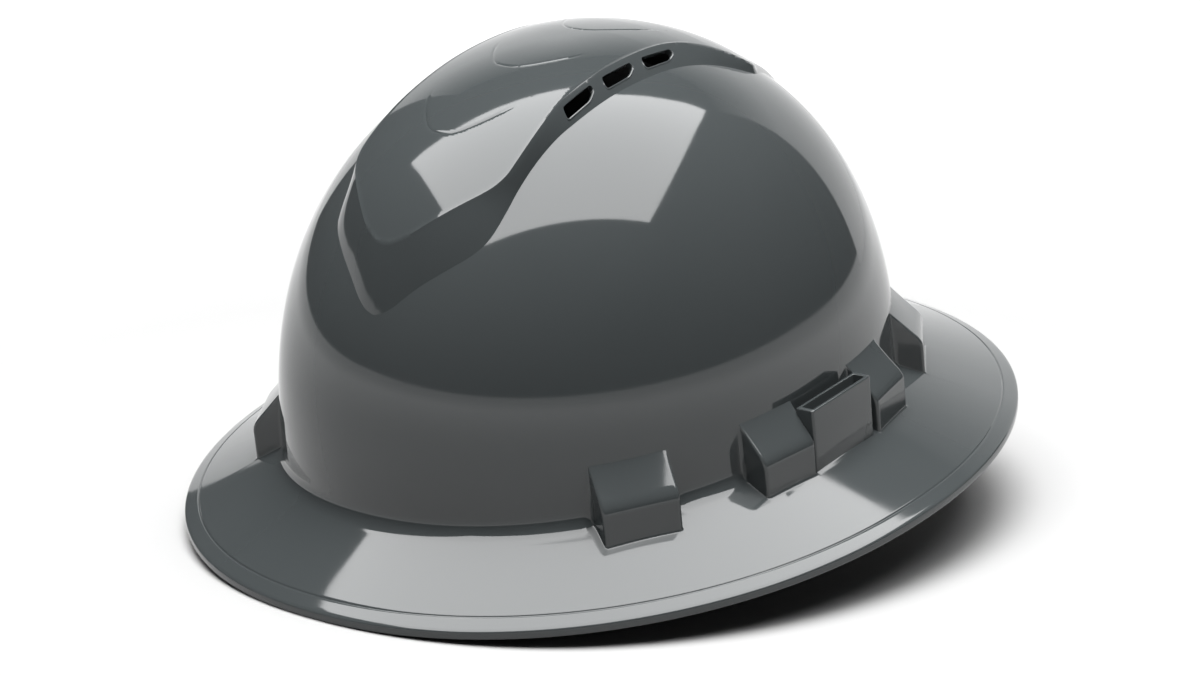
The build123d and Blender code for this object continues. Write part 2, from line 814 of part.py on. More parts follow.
def make_housing_screws():
    """The four screws that hold the cover to the housing."""
    screws = []
    for x, z in screw_places():
        start = screw_start(x)
        shank = rear_cylinder(screw_radius, start, screw_length, x, z)
        head = rear_cylinder(screw_head_radius, start, screw_head_thickness, x, z)
        screws.append(shank + head)
    return Compound(screws)


def make_nape_pad():
    """The pad on the inside of the ratchet's cover."""
    outer = cover_inner - layer_gap
    band = head_ring(outer - nape_pad_thickness, outer, housing_bottom, housing_top)
    bottom, top = housing_bottom + nape_pad_margin, housing_top - nape_pad_margin
    view = rounded_rear_view(
        housing_half_width - nape_pad_margin, bottom, top, housing_corner - nape_pad_margin / 2, 0
    )
    return band & view


def gear_outline():
    """The pinion's teeth, seen from behind."""
    pitch_angle = 2 * math.pi / tooth_count
    half_tooth = (math.pi * tooth_pitch_radius / tooth_count - tooth_backlash) / 2 / tooth_pitch_radius
    points = []
    for number in range(tooth_count):
        middle = number * pitch_angle
        for offset, radius in (
            (-gear_root_share * half_tooth, pinion_root),
            (-gear_tip_share * half_tooth, pinion_radius),
            (gear_tip_share * half_tooth, pinion_radius),
            (gear_root_share * half_tooth, pinion_root),
        ):
            points.append((radius * math.sin(middle + offset), radius * math.cos(middle + offset)))
    corners = [Vector(x, 0, ratchet_level + z) for x, z in points]
    return Face(Wire.make_polygon(corners, close=True))


def make_pinion():
    """The pinion with the square shaft that carries the pawls and the knob."""
    length = strap_layers - pinion_end_gap
    teeth = Solid.extrude(gear_outline(), Vector(0, length, 0)).moved(Location((0, rack_start, 0)))
    shaft_end = head_rear + housing_outer
    shaft = rear_cylinder(shaft_radius, rack_start + length / 2, shaft_end - rack_start - length / 2)
    square_length = cup_height + knob_top_thickness / 2
    square = Pos(0, shaft_end + square_length / 2, ratchet_level) * Box(
        shaft_square, square_length, shaft_square
    )
    pinion = teeth + shaft + square
    pinion -= rear_cylinder(knob_screw_radius, rack_start - overrun, 2 * rim_rear_reach)
    return pinion - rear_cylinder(
        knob_screw_head_radius + fit_gap / 3, rack_start - overrun, overrun + screw_head_thickness
    )


def square_hole(start, length):
    size = shaft_square + fit_gap / 3
    return Pos(0, start + length / 2, ratchet_level) * Box(size, length, size)


def make_detent():
    """The pawl spring: a hub with two bent arms that click along the cup's teeth."""
    start = head_rear + housing_outer + fit_gap
    tip = cup_radius - cup_wall - ratchet_tooth_depth - fit_gap
    hub = rear_cylinder(detent_hub_radius, start, detent_thickness)
    outer = rear_cylinder(tip, start, detent_thickness)
    inner = rear_cylinder(tip - pawl_width, start, detent_thickness)
    arms = outer - inner
    gap = Pos(tip / 2, start + detent_thickness / 2, ratchet_level + tip / 4) * Box(
        tip + overrun, 2 * detent_thickness, tip / 4
    )
    gap += Pos(-tip / 2, start + detent_thickness / 2, ratchet_level - tip / 4) * Box(
        tip + overrun, 2 * detent_thickness, tip / 4
    )
    spoke = Pos(0, start + detent_thickness / 2, ratchet_level) * Box(
        2 * pawl_width, detent_thickness, 2 * tip - pawl_width
    )
    detent = (arms - gap) + spoke + hub
    detent -= square_hole(start - overrun, detent_thickness + 2 * overrun)
    return detent.solids().sort_by(SortBy.VOLUME)[-1]


def make_knob():
    """The turning knob with finger scallops, hollow over the toothed cup."""
    face = head_rear + housing_outer
    top = face + cup_height + fit_gap
    outer = rear_cylinder(knob_radius, face + fit_gap, top + knob_top_thickness - face - fit_gap)
    rear_edge = outer.edges().filter_by(GeomType.CIRCLE).sort_by(Axis.Y)[-1]
    knob = fillet(rear_edge, knob_top_thickness / 3)
    knob -= rear_cylinder(knob_radius - knob_skirt_wall, face - overrun, top - face + overrun)
    for number in range(knob_scallops):
        turn = 2 * math.pi * (number + 0.5) / knob_scallops
        reach = knob_radius + knob_scallop_share * knob_scallop_radius
        knob -= rear_cylinder(
            knob_scallop_radius,
            face - overrun,
            overrun + top + 2 * overrun - face,
            reach * math.sin(turn),
            ratchet_level + reach * math.cos(turn),
        )
    knob -= square_hole(top - overrun, overrun + knob_top_thickness / 2)
    return knob - rear_cylinder(knob_screw_radius, top - overrun, overrun + 3 * knob_top_thickness / 4)


def make_knob_screw():
    """The screw up the middle of the pinion that holds the knob on."""
    end = head_rear + housing_outer + cup_height + fit_gap + 3 * knob_top_thickness / 4
    shank = rear_cylinder(knob_screw_radius, rack_start, end - rack_start)
    return shank + rear_cylinder(knob_screw_head_radius, rack_start, screw_head_thickness)


def rest_angle():
    """How far the hat tips when it stands on its front rim and on the foot of the ratchet."""
    flat_half = housing_half_width - housing_corner
    foot_y = cover_face(flat_half)
    front_y = rim_corner - rim_front_reach
    drop = -rim_edge_height - housing_bottom
    return math.atan2(drop, foot_y - front_y)


def standing_shift(angle):
    """Moves the standing hat so that its box is centred over the origin and rests on Z = 0."""
    c, s = math.cos(angle), math.sin(angle)
    front = -rim_front_reach * c + rim_corner * s
    rear = rim_rear_reach * c + (rim_edge_height - rim_corner) * s
    low = (rim_corner - rim_front_reach) * s - rim_edge_height * c
    return 0, -(front + rear) / 2, -low


def stand(shape):
    """From the worn position to the standing one."""
    angle = rest_angle()
    return Pos(*standing_shift(angle)) * Rot(math.degrees(angle), 0, 0) * shape


def make_parts():
    """Every piece by name, as worn."""
    parts = {"shell": make_shell()}
    places = [
        ("front_left", front_pocket_station, 1),
        ("front_right", front_pocket_station, -1),
        ("rear_left", rear_pocket_station, 1),
        ("rear_right", rear_pocket_station, -1),
    ]
    for name, station, side in places:
        parts["suspension_key_" + name] = make_key(station, side)
        parts["height_stud_" + name] = make_stud(station, side)
    parts["crown_strap_left_front"] = make_crown_strap(1, 0)
    parts["crown_strap_right_front"] = make_crown_strap(-1, 1)
    rivets = rivet_shapes(1, 0) + rivet_shapes(-1, 0)
    band = make_headband()
    for side in (1, -1):
        band -= Compound(rivet_shapes(side, fit_gap / 3))
    parts["headband"] = band
    parts["brow_pad"] = make_brow_pad()
    parts["nape_strap_left"] = make_nape_strap(1)
    parts["nape_strap_right"] = make_nape_strap(-1)
    parts["strap_rivets"] = Compound(rivets)
    parts["ratchet_housing"] = make_housing()
    parts["ratchet_cover"] = make_cover()
    parts["ratchet_screws"] = make_housing_screws()
    parts["nape_pad"] = make_nape_pad()
    parts["ratchet_pinion"] = make_pinion()
    parts["detent_spring"] = make_detent()
    parts["ratchet_knob"] = make_knob()
    parts["knob_screw"] = make_knob_screw()
    return parts


os.makedirs("parts", exist_ok=True)
for part_name, part_shape in make_parts().items():
    export_step(stand(part_shape), "parts/" + part_name + ".step")
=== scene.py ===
import json
import math
from contextlib import contextmanager
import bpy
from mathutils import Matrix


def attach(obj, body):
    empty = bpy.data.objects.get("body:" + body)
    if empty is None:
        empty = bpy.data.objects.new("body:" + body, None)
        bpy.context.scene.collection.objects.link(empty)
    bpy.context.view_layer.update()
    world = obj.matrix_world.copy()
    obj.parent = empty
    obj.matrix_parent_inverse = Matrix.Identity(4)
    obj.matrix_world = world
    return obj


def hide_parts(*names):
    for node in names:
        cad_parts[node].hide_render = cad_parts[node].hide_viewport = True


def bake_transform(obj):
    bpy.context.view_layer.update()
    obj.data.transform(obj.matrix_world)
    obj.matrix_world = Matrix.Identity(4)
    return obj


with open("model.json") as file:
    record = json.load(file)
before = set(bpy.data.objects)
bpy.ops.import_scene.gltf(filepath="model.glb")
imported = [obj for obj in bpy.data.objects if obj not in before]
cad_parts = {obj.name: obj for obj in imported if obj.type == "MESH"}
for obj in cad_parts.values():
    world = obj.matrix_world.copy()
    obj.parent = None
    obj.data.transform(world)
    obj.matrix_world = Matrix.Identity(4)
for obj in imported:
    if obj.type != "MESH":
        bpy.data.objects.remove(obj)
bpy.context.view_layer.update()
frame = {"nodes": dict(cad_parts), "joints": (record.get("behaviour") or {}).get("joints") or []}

from types import SimpleNamespace

import bmesh
import bpy
import numpy as np
from mathutils import Matrix, Vector

# Sizes in millimetres, drawn as worn: front towards -Y, wearer's left towards +X, rim plane at Z = 0.
# The rim and the dome's foot are superellipses: half width a, half length b, centre y, exponent e.
RIM = SimpleNamespace(a=142.6, b=162.35, y=1.45, e=2.09)
DOME = SimpleNamespace(a=100.2, b=123.1, y=-2.3, e=2.12)
FOOT = 18.5  # level of the dome's foot
RISE = 129.9  # height of the dome above its foot
POWER = 2.25  # exponent of the dome's profile
WALL = 2.6
FILLET = 7.0  # between dome and brim
CREST = 4.8  # how proud the crest stands at most
POCKET_DEPTH = 10.0
POCKET_FACE = 26.6  # level of the upper edge of a pocket's face, where its roll begins
POCKET_FILLET = 1.2
ROLL_HEIGHT = 11.9
ROLL_BOW = -0.25
ROLL_EDGE = 2.6
CORNER = 1.2
POCKET_WALL = 2.3
KEY_WIDTH = 27.6
SIDE_WIDTH = 24.6
FRONT_KEY, REAR_KEY = -81.3, 78.0  # stations of the keys' pockets along Y
POCKETS = [(FRONT_KEY, KEY_WIDTH), (-29.0, SIDE_WIDTH), (30.5, SIDE_WIDTH), (REAR_KEY, KEY_WIDTH)]
BORES = [(FRONT_KEY, 11.5), (-30.0, 7.5), (31.5, 7.5), (REAR_KEY, 11.5)]
SLOT_STATION = -0.2
VENT_COUNT, VENT_LENGTH, VENT_HEIGHT, VENT_BRIDGE, VENT_FRONT = 3, 16.4, 4.4, 5.3, -42.3
VENT_OUTLINE = [(-0.5, -0.5), (0.22, -0.5), (0.5, 0.0), (0.5, 0.5), (-0.46, 0.5)]
HEAD_A, HEAD_B, HEAD_Y = 83.0, 104.0, -2.3
KEY_LEG_INNER = -7.5
BROW_STUD_STATION = -70.8
STRAP_FOOT, STRAP_CROWN, STRAP_WIDTH, STRAP_THICKNESS = 36.3, 106.0, 19.0, 1.4
STRAP_OUTSET = -6.8
ROW_STEP = 0.62  # between the dome's rows of points
COLUMN_STEP, FINE_COLUMN_STEP = 1.6, 0.95  # at the sides, and at the front and rear
FINE_COLUMN_COS = 0.74

# The hat stands on its front rim and its ratchet, so it is tipped about X.
height_axis = [j for j in frame["joints"] if j["name"] == "headband_height"][0]["axis"]
TIP_SIN, TIP_COS = -height_axis[1], height_axis[2]
SHIFT_Y, SHIFT_Z = -1.651, 26.068


def turn_direction(v):
    """Worn directions, or points about the origin, to the standing frame."""
    x, y, z = np.moveaxis(np.asarray(v, float), -1, 0)
    return np.stack((x, y * TIP_COS - z * TIP_SIN, y * TIP_SIN + z * TIP_COS), -1)


def stand(points):
    """Worn points in millimetres to standing points in metres."""
    return (turn_direction(points) + (0, SHIFT_Y, SHIFT_Z)) / 1000.0


def signed_power(value, power):
    return np.sign(value) * np.abs(value) ** power


def outline(shape, turn):
    """Points of a superellipse outline at turns in radians."""
    x = shape.a * signed_power(np.cos(turn), 2 / shape.e)
    return x, shape.y + shape.b * signed_power(np.sin(turn), 2 / shape.e)


def smooth(t):
    t = np.clip(t, 0, 1)
    return t * t * (3 - 2 * t)


def unit(v):
    return v / np.linalg.norm(v, axis=-1, keepdims=True)


def running(steps):
    """The running total of steps, from zero."""
    return np.concatenate([[0], np.cumsum(steps)])


def run_of(points):
    """How far each point of a line is along it."""
    return running(np.linalg.norm(np.diff(points, axis=0), axis=1))


def at_run(where, run, rows):
    """Rows of values between those of a line, at places along it."""
    return np.stack([np.interp(where, run, column) for column in np.asarray(rows).T], -1)


def dome_reach(x, y, grow=0.0):
    """Share of the way from the dome's middle to its foot, seen from above."""
    across, along = np.abs(x / (DOME.a + grow)), np.abs((y - DOME.y) / (DOME.b + grow))
    return (across ** DOME.e + along ** DOME.e) ** (1 / DOME.e)


def dome_height(x, y, grow=0.0):
    left = np.clip(1 - dome_reach(x, y, grow) ** POWER, 0, 1)
    return FOOT + (RISE + grow) * left ** (1 / POWER)


def reach_at(level, rise=RISE):
    """The dome's reach at a level."""
    return (1 - (max(level - FOOT, 0) / rise) ** POWER) ** (1 / POWER)


def smooth_line(points, count):
    """A smooth line through the given points, with count steps between two of them."""
    p = np.array([points[0]] + list(points) + [points[-1]], float)
    out = []
    for i in range(1, len(p) - 2):
        for t in np.arange(count) / count:
            out.append(0.5 * (2 * p[i] + (p[i + 1] - p[i - 1]) * t
                              + (2 * p[i - 1] - 5 * p[i] + 4 * p[i + 1] - p[i + 2]) * t**2
                              + (3 * p[i] - p[i - 1] - 3 * p[i + 1] + p[i + 2]) * t**3))
    out.append(p[-2])
    return np.array(out)


# The crest seen from above: half of its foot outline and half of its upper edge, as X and Y.
CREST_FOOT = smooth_line([
    (0, -111.2), (4, -110.5), (8.4, -108.7), (15.2, -104.4), (22.7, -99.2), (30, -92.8), (33.7, -86.8),
    (34.9, -79.4), (34.9, -71.2), (34.9, -61.2), (35.2, -49.1), (36.0, -39.2), (36.5, -27.4), (37.0, -9.2),
    (37.7, 13.4), (38.6, 23), (39.6, 31), (40.7, 37.5), (41.8, 43.5), (42.5, 48.5), (42.4, 53.2),
    (40.6, 57.5), (37.8, 63), (34.5, 71), (30.6, 84), (26, 97), (18, 106.2), (8, 110.2), (0, 111)], 8)
CREST_TOP = smooth_line([
    (0, -99.1), (3.8, -98.5), (7.6, -96.8), (11.5, -94.5), (18.6, -88.5), (25.3, -81.9), (29.4, -76.7),
    (31.4, -71.8), (31.8, -66.5), (31.5, -57.8), (30.7, -48.2), (29.9, -37.1), (29.6, -22.4), (29.6, -4.9),
    (29.8, 12.5), (30.7, 21.5), (32.8, 30), (35.6, 37), (38.0, 43), (39.7, 47.8), (40.3, 52.3), (38.6, 56.4),
    (35.6, 61.8), (32.2, 69.5), (28.4, 82), (23.6, 93.5), (15.4, 102.0), (6, 106.1), (0, 106.7)], 8)
# How proud the crest stands along Y, as a share of its most.
CREST_PROUD_Y = [-111, -80, -50, 10, 26, 36, 44, 51.5, 54.5, 57.5, 70, 85, 108]
CREST_PROUD = [1.0, 1.0, 1.0, 0.97, 0.91, 0.82, 0.68, 0.52, 0.44, 0.27, 0.25, 0.22, 0.12]
CREST_NEAR_X, CREST_NEAR_Y = 44, 118
# The bead on the crest's upper edge: its height, the places inside the edge where it starts, peaks and ends,
# and the stations between which it fades out.
CREST_BEAD, BEAD_PLACES, BEAD_FADE = 0.2, (-0.35, 0.35, 1.2), (20, 34)
# Half of the three fine rounded grooves on the crest, as X and Y, and their size.
GROOVES = [smooth_line([(x * 0.85, y + start) for x, y in (
    (0, 0.0), (3, 0.25), (6, 1.1), (9.5, 3.2), (13.6, 7.0), (17.2, 11.3), (20.7, 16.9), (23.5, 24.0))], 6)
    for start in (-66.4, -30.4, 7.2)]
GROOVE_DEPTH, GROOVE_HALF = 0.2, 0.62
GROOVE_FADE_START, GROOVE_FADE_WIDTH = 15, 4


def search(x, y, line):
    """Distance to half an outline, positive inside, with the nearest point and the inward normal there."""
    best = np.full(x.shape, 1e9)
    found = [np.zeros(x.shape) for _ in range(4)]
    for (ax, ay), (bx, by) in zip(line[:-1], line[1:]):
        dx, dy = bx - ax, by - ay
        root = math.hypot(dx, dy)
        if root == 0:
            continue
        t = np.clip(((x - ax) * dx + (y - ay) * dy) / root**2, 0, 1)
        px, py = ax + t * dx, ay + t * dy
        gap = (x - px) ** 2 + (y - py) ** 2
        closer = gap < best
        best = np.where(closer, gap, best)
        for place, value in zip(found, (px, py, -dy / root, dx / root)):
            place[closer] = np.broadcast_to(value, x.shape)[closer]
    half = np.interp(y, line[:, 1], line[:, 0], left=-1, right=-1)
    return [np.where(x < half, 1, -1) * np.sqrt(best), *found]


def nearest(x, y, line, within):
    """As search, with a rough answer for points further off than within."""
    rough = search(x, y, np.concatenate([line[:-1:8], line[-1:]]))
    close = np.abs(rough[0]) < within + 1.5
    for values, fine in zip(rough, search(x[close], y[close], line)):
        values[close] = fine
    return rough


def near_crest(x, y):
    return (np.abs(x) < CREST_NEAR_X) & (np.abs(y) < CREST_NEAR_Y)


def crisp(x, y):
    """Draw the grid onto the crest's foot, upper edge and grooves; also say which points were drawn."""
    x, y = x.copy(), y.copy()
    drawn = np.zeros(x.shape, int)
    near = near_crest(x, y) & (np.abs(x) > 0.05)
    side = np.sign(x[near])
    across, along, marks = np.abs(x[near]), y[near], drawn[near]
    wanted = [(CREST_FOOT, 0.0, 0.45)] + [(CREST_TOP, place, 0.36) for place in BEAD_PLACES]
    wanted += [(line, place, 0.32) for line in GROOVES for place in (-GROOVE_HALF, 0.0, GROOVE_HALF)]
    for number, (line, offset, reach) in enumerate(wanted):
        distance, px, py, nx, ny = nearest(across, along, line, 1.0)
        close = (np.abs(distance - offset) < reach) & (marks == 0)
        across = np.where(close, np.maximum(px + nx * offset, 0), across)
        along = np.where(close, py + ny * offset, along)
        marks = np.where(close, number + 1, marks)
    x[near], y[near], drawn[near] = across * side, along, marks
    return x, y, drawn


def crest_growth(x, y, inner=False):
    """How proud the crest stands of the dome, in millimetres; inside the shell its edges are soft."""
    grow = np.zeros(x.shape)
    near = near_crest(x, y)
    across, along = np.abs(x[near]), y[near]
    foot = nearest(across, along, CREST_FOOT, 11)[0]
    top = nearest(across, along, CREST_TOP, 11)[0]
    share = np.clip(foot / np.maximum(foot - top, 0.3), 0, 1)
    share = np.where((foot < 0.02) | (share < 0), 0, np.where(top > 0.3, 1, share))
    proud = CREST * np.interp(along, CREST_PROUD_Y, CREST_PROUD)
    if inner:
        grow[near] = smooth((foot + 0.5) / np.maximum(foot - top + 2.5, 3.0)) * proud
        return grow
    fade = 1 - smooth((across - GROOVE_FADE_START) / GROOVE_FADE_WIDTH)
    cut = np.zeros(across.shape)
    for line in GROOVES:
        beside = np.abs(nearest(across, along, line, 2)[0])
        cut += GROOVE_DEPTH * np.clip(1 - beside / GROOVE_HALF, 0, 1) * fade
    bead = CREST_BEAD * np.interp(top, BEAD_PLACES, (0, 1, 0)) * np.interp(along, BEAD_FADE, (1, 0))
    grow[near] = share * (proud - cut + bead)
    return grow


def foot_place(station, side):
    """The point on the dome's foot at a station, its turn, and its outward and lateral directions."""
    turn = math.asin(signed_power((station - DOME.y) / DOME.b, DOME.e / 2))
    if side < 0:
        turn = math.pi - turn
    place = np.array(outline(DOME, turn))
    across, along = place[0] / DOME.a, (place[1] - DOME.y) / DOME.b
    n = unit(np.array((signed_power(across, DOME.e - 1) / DOME.a, signed_power(along, DOME.e - 1) / DOME.b)))
    return place, turn, n, np.array((-n[1], n[0]))


def brim_height(x, y):
    """Height of the brim's straight slope over points outside the dome."""
    low, high = np.zeros(x.shape), np.ones(x.shape)
    for _ in range(36):
        share = (low + high) / 2
        a, b, c, e = (getattr(RIM, k) + (getattr(DOME, k) - getattr(RIM, k)) * share for k in "abye")
        inside = np.abs(x / a) ** e + np.abs((y - c) / b) ** e < 1
        low, high = np.where(inside, share, low), np.where(inside, high, share)
    return low * FOOT


def shell_columns():
    """Turns of the shell's columns, how far each pocket pushes them out, and their foot radius."""
    fine = np.linspace(-math.pi / 2, 1.5 * math.pi, 20001)
    middle = (fine[1:] + fine[:-1]) / 2
    spacing = np.where(np.abs(np.cos(middle)) < FINE_COLUMN_COS, FINE_COLUMN_STEP, COLUMN_STEP)
    steps = running(np.hypot(*np.diff(outline(DOME, fine))) / spacing)
    count = int(steps[-1])
    free = np.interp((np.arange(count) + 0.5) * steps[-1] / count, steps, fine)
    free_points = np.stack(outline(DOME, free), -1)
    keep = np.ones(count, bool)
    columns = []
    for side in (1, -1):
        for station, width in POCKETS:
            place, turn, n, t = foot_place(station, side)
            half = width / 2
            keep &= ~((np.abs((free_points - place) @ t) < half + 3.2) & ((free_points - place) @ n > -60))
            near = np.linspace(turn - 0.3, turn + 0.3, 2001)
            near_s = (np.stack(outline(DOME, near), -1) - place) @ t
            order = np.argsort(near_s)

            def add_column(s, depth, radius, flat):
                where = float(np.interp(s, near_s[order], near[order]))
                if flat:
                    depth -= (np.array(outline(DOME, where)) - place) @ n
                columns.append((where, *(n * depth), radius))

            # Half of the pocket's plan: distance from its middle, depth and foot radius.
            flank = [(half + 2.6, 0.0, 6.0), (half + 1.6, 0.06, 4.6), (half + 0.9, 0.3, 3.0),
                     (half + 0.45, 0.9, 1.8), (half + 0.2, 1.9, 1.3)]
            corner = [(half - CORNER + CORNER * math.cos(a), POCKET_DEPTH - CORNER + CORNER * math.sin(a))
                      for a in np.radians((0, 18, 36, 54, 72, 90))]
            flat_edge = half - CORNER
            face = [(s, POCKET_DEPTH) for s in (*np.linspace(0, flat_edge, 6)[:-1], flat_edge - 0.3)]
            for sign in (1, -1):
                for s, depth, radius in flank:
                    add_column(sign * s, depth, radius, False)
                for s, depth in corner + face:
                    if s or sign > 0:
                        add_column(sign * s, depth, POCKET_FILLET, True)
    columns += [(t, 0.0, 0.0, FILLET) for t in free[keep]]
    base = -math.pi / 2
    columns = sorted(((c[0] - base) % (2 * math.pi) + base, *c[1:]) for c in columns)
    return np.array(columns)


def shell_grid():
    """All rows of the shell, from the outer pole down, round the rim and up to the inner pole."""
    turn, ox, oy, radius = shell_columns().T
    foot_x, foot_y = outline(DOME, turn)
    rim_x, rim_y = outline(RIM, turn)
    c, s = signed_power(np.cos(turn), 2 / DOME.e), signed_power(np.sin(turn), 2 / DOME.e)
    rows = []

    def add_row(x, y, level):
        rows.append(np.stack([x, y, np.broadcast_to(level, x.shape)], -1))

    def dome_rows(reach, inset):
        """Rows on the dome at shares of its reach, grown by the crest; returns the points drawn."""
        a, b = DOME.a - inset, DOME.b - inset
        x, y = a * reach[:, None] * c, DOME.y + b * reach[:, None] * s
        drawn = None
        if not inset:
            x, y, drawn = crisp(x, y)
        grow = crest_growth(x, y, inset > 0)
        up = dome_height(x, y, -inset) - FOOT
        rows.extend(np.stack([x + grow * x / a, y + grow * (y - DOME.y) / b,
                              FOOT + up * (1 + grow / (RISE - inset))], -1))
        return drawn

    angles = np.linspace(0, math.pi / 2, 4001)
    reach = np.cos(angles) ** (2 / POWER)
    height = FOOT + RISE * np.sin(angles) ** (2 / POWER)
    mean_radius = 112
    arc = running(np.hypot(np.diff(reach) * mean_radius, np.diff(height)))
    low_end, crest_end = np.interp((40.0, 84.0), height, arc)
    marks = np.concatenate([np.linspace(arc[-1], crest_end, int((arc[-1] - crest_end) / ROW_STEP)),
                            np.linspace(crest_end, low_end, 34)[1:]])
    drawn = dome_rows(np.interp(marks[1:], arc, reach), 0.0)

    def level_row(level, inset, push):
        """A level row on the dome or its inner face, pushed out by a share of the pockets' depth."""
        here = reach_at(level, RISE - inset)
        x, y = (DOME.a - inset) * here * c, DOME.y + (DOME.b - inset) * here * s
        add_row(x + ox * push, y + oy * push, level)

    level_row(POCKET_FACE + ROLL_HEIGHT + 0.8, 0.0, 0.0)
    level_row(POCKET_FACE + ROLL_HEIGHT + 0.25, 0.0, 0.0)
    soft = ROLL_EDGE / ROLL_HEIGHT
    for up in (1.0, 0.985, 0.94, 0.8, 0.6, 0.4, 0.25, *np.linspace(soft, -soft, 8)):
        share = 1 - up if up > soft else 1 - (up + soft) ** 2 / (4 * soft)
        bow = 4 * max(up, 0) * (1 - up) * ROLL_BOW / POCKET_DEPTH
        level_row(POCKET_FACE + ROLL_HEIGHT * up, 0.0, share + bow)

    base_x, base_y = foot_x + ox, foot_y + oy
    base_z = np.where(np.hypot(ox, oy) > 0.01, brim_height(base_x, base_y), FOOT)
    dx, dy = rim_x - base_x, rim_y - base_y
    length = np.hypot(dx, dy)
    dx, dy = dx / length, dy / length
    slope = np.arctan2(base_z, length)
    tangent = radius * np.tan((math.pi / 2 - slope) / 2)

    def brim_row(out, level):
        add_row(base_x + dx * out, base_y + dy * out, level)

    for share in (0.0, 0.12, 0.26, 0.42, 0.58, 0.74, 0.88, 1.0):
        angle = (math.pi / 2 - slope) * share
        brim_row(radius * (1 - np.cos(angle)), base_z + tangent - radius * np.sin(angle))
    start = radius * (1 - np.cos(math.pi / 2 - slope))
    for share in np.linspace(0.06, 1, 14):
        out = start + (length - 6.3 - start) * share
        brim_row(out, base_z * (1 - out / length))
    # The fine groove inside the rim: how far in from the rim, and how deep.
    for inset, sink in ((5.9, 0.0), (5.82, 0.04), (5.7, 0.2), (5.5, 0.25), (5.3, 0.2), (5.18, 0.04),
                        (5.1, 0.0), (4.6, 0.0), (3.4, 0.0), (2.2, 0.0), (1.3, 0.0), (0.8, 0.02)):
        out = length - inset
        brim_row(out, base_z * (1 - out / length) - sink)
    # The rounded rim: how far in, and the level.
    for inset, level in ((0.45, 0.1), (0.2, -0.08), (0.05, -0.34), (0.0, -0.65), (0.0, -1.5), (0.0, -2.3),
                         (0.06, -2.62), (0.22, -2.86), (0.5, -3.0), (1.2, -3.0), (2.4, -3.0), (2.7, -2.9),
                         (2.92, -2.65), (3.0, -2.35), (3.05, -1.95)):
        add_row(rim_x - dx * inset, rim_y - dy * inset, level)

    # The underside of the brim and the inside of the dome.
    drop = WALL / math.cos(math.atan2(FOOT, RIM.a - DOME.a))
    inner_x, inner_y = (DOME.a - WALL) * c, DOME.y + (DOME.b - WALL) * s
    in_dx, in_dy = rim_x - inner_x, rim_y - inner_y
    in_length = np.hypot(in_dx, in_dy)
    inner_rise = FOOT * in_length / np.hypot(rim_x - foot_x, rim_y - foot_y)
    for share in (0.004, 0.02, 0.08, 0.2, 0.35, 0.5, 0.65, 0.8, 0.92, 0.98):
        out = (in_length - 3.3) * (1 - share) / in_length
        add_row(inner_x + in_dx * out, inner_y + in_dy * out, inner_rise * (1 - out) - drop)
    inner_foot = float(np.mean(inner_rise)) - drop
    for level in (inner_foot + 0.4, inner_foot + 1.2, 22.0, 28.0, 34.0):
        level_row(level, WALL, 0.0)
    low = np.interp(39.0, height, arc)
    dome_rows(np.interp(np.linspace(low, arc[-1], 62)[:-1], arc, reach), WALL)
    rows = np.array(rows)
    return rows, np.concatenate([drawn, np.zeros((len(rows) - len(drawn), len(c)), int)])


def link(obj):
    bpy.context.scene.collection.objects.link(obj)
    return obj


def mesh_object(name, vertices, faces, worn=True):
    data = bpy.data.meshes.new(name)
    points = stand(vertices) if worn else vertices
    data.from_pydata([tuple(p) for p in points], [], faces)
    data.update()
    return link(bpy.data.objects.new(name, data))


def grid_faces(rows, columns, closed):
    """Quads between the neighbouring rows of a grid."""
    faces = []
    for r in range(rows - 1):
        for k in range(columns if closed else columns - 1):
            a, b = r * columns + k, r * columns + (k + 1) % columns
            faces.append((a, a + columns, b + columns, b))
    return faces


def tube_mesh(rings, cap=True):
    """Vertices and faces of a closed form through rings with the same number of points."""
    rings = np.array(rings)
    count, around = rings.shape[:2]
    faces = grid_faces(count, around, True)
    if cap:
        faces.append(tuple(range(around)))
        faces.append(tuple(range((count - 1) * around, count * around))[::-1])
    return list(rings.reshape(-1, 3)), faces


def merge(parts):
    vertices, faces = [], []
    for v, f in parts:
        base = len(vertices)
        vertices += list(v)
        faces += [tuple(i + base for i in face) for face in f]
    return vertices, faces


@contextmanager
def edited(obj):
    """The object's mesh, open for work on it and written back afterwards."""
    bm = bmesh.new()
    bm.from_mesh(obj.data)
    yield bm
    bm.to_mesh(obj.data)
    bm.free()


def fix_normals(obj, weld=0.0):
    with edited(obj) as bm:
        if weld:
            bmesh.ops.remove_doubles(bm, verts=bm.verts, dist=weld)
        bmesh.ops.recalc_face_normals(bm, faces=bm.faces)


def shade(obj, degrees=30):
    obj.data.shade_smooth()
    if degrees:
        obj.data.set_sharp_from_angle(angle=math.radians(degrees))


def shell_mesh():
    """Vertices and faces of the shell, and which vertices were drawn onto an edge."""
    rows, drawn = shell_grid()
    count, around = rows.shape[:2]
    vertices = list(rows.reshape(-1, 3))
    drawn = drawn.ravel()
    faces = []
    for a, b, c, d in grid_faces(count, around, True):
        if drawn[a] and drawn[a] == drawn[c]:
            faces += [(a, b, c), (a, c, d)]
        elif drawn[b] and drawn[b] == drawn[d]:
            faces += [(a, b, d), (b, c, d)]
        else:
            faces.append((a, b, c, d))
    top = dome_height(0.0, DOME.y) + float(crest_growth(np.array([0.0]), np.array([DOME.y]))[0])
    vertices += [(0.0, DOME.y, top), (0.0, DOME.y, top - WALL)]
    outer_pole, inner_pole = len(vertices) - 2, len(vertices) - 1
    last_row = (count - 1) * around
    for k in range(around):
        k2 = (k + 1) % around
        faces.append((outer_pole, k, k2))
        faces.append((inner_pole, last_row + k2, last_row + k))
    return vertices, faces, np.flatnonzero(drawn)


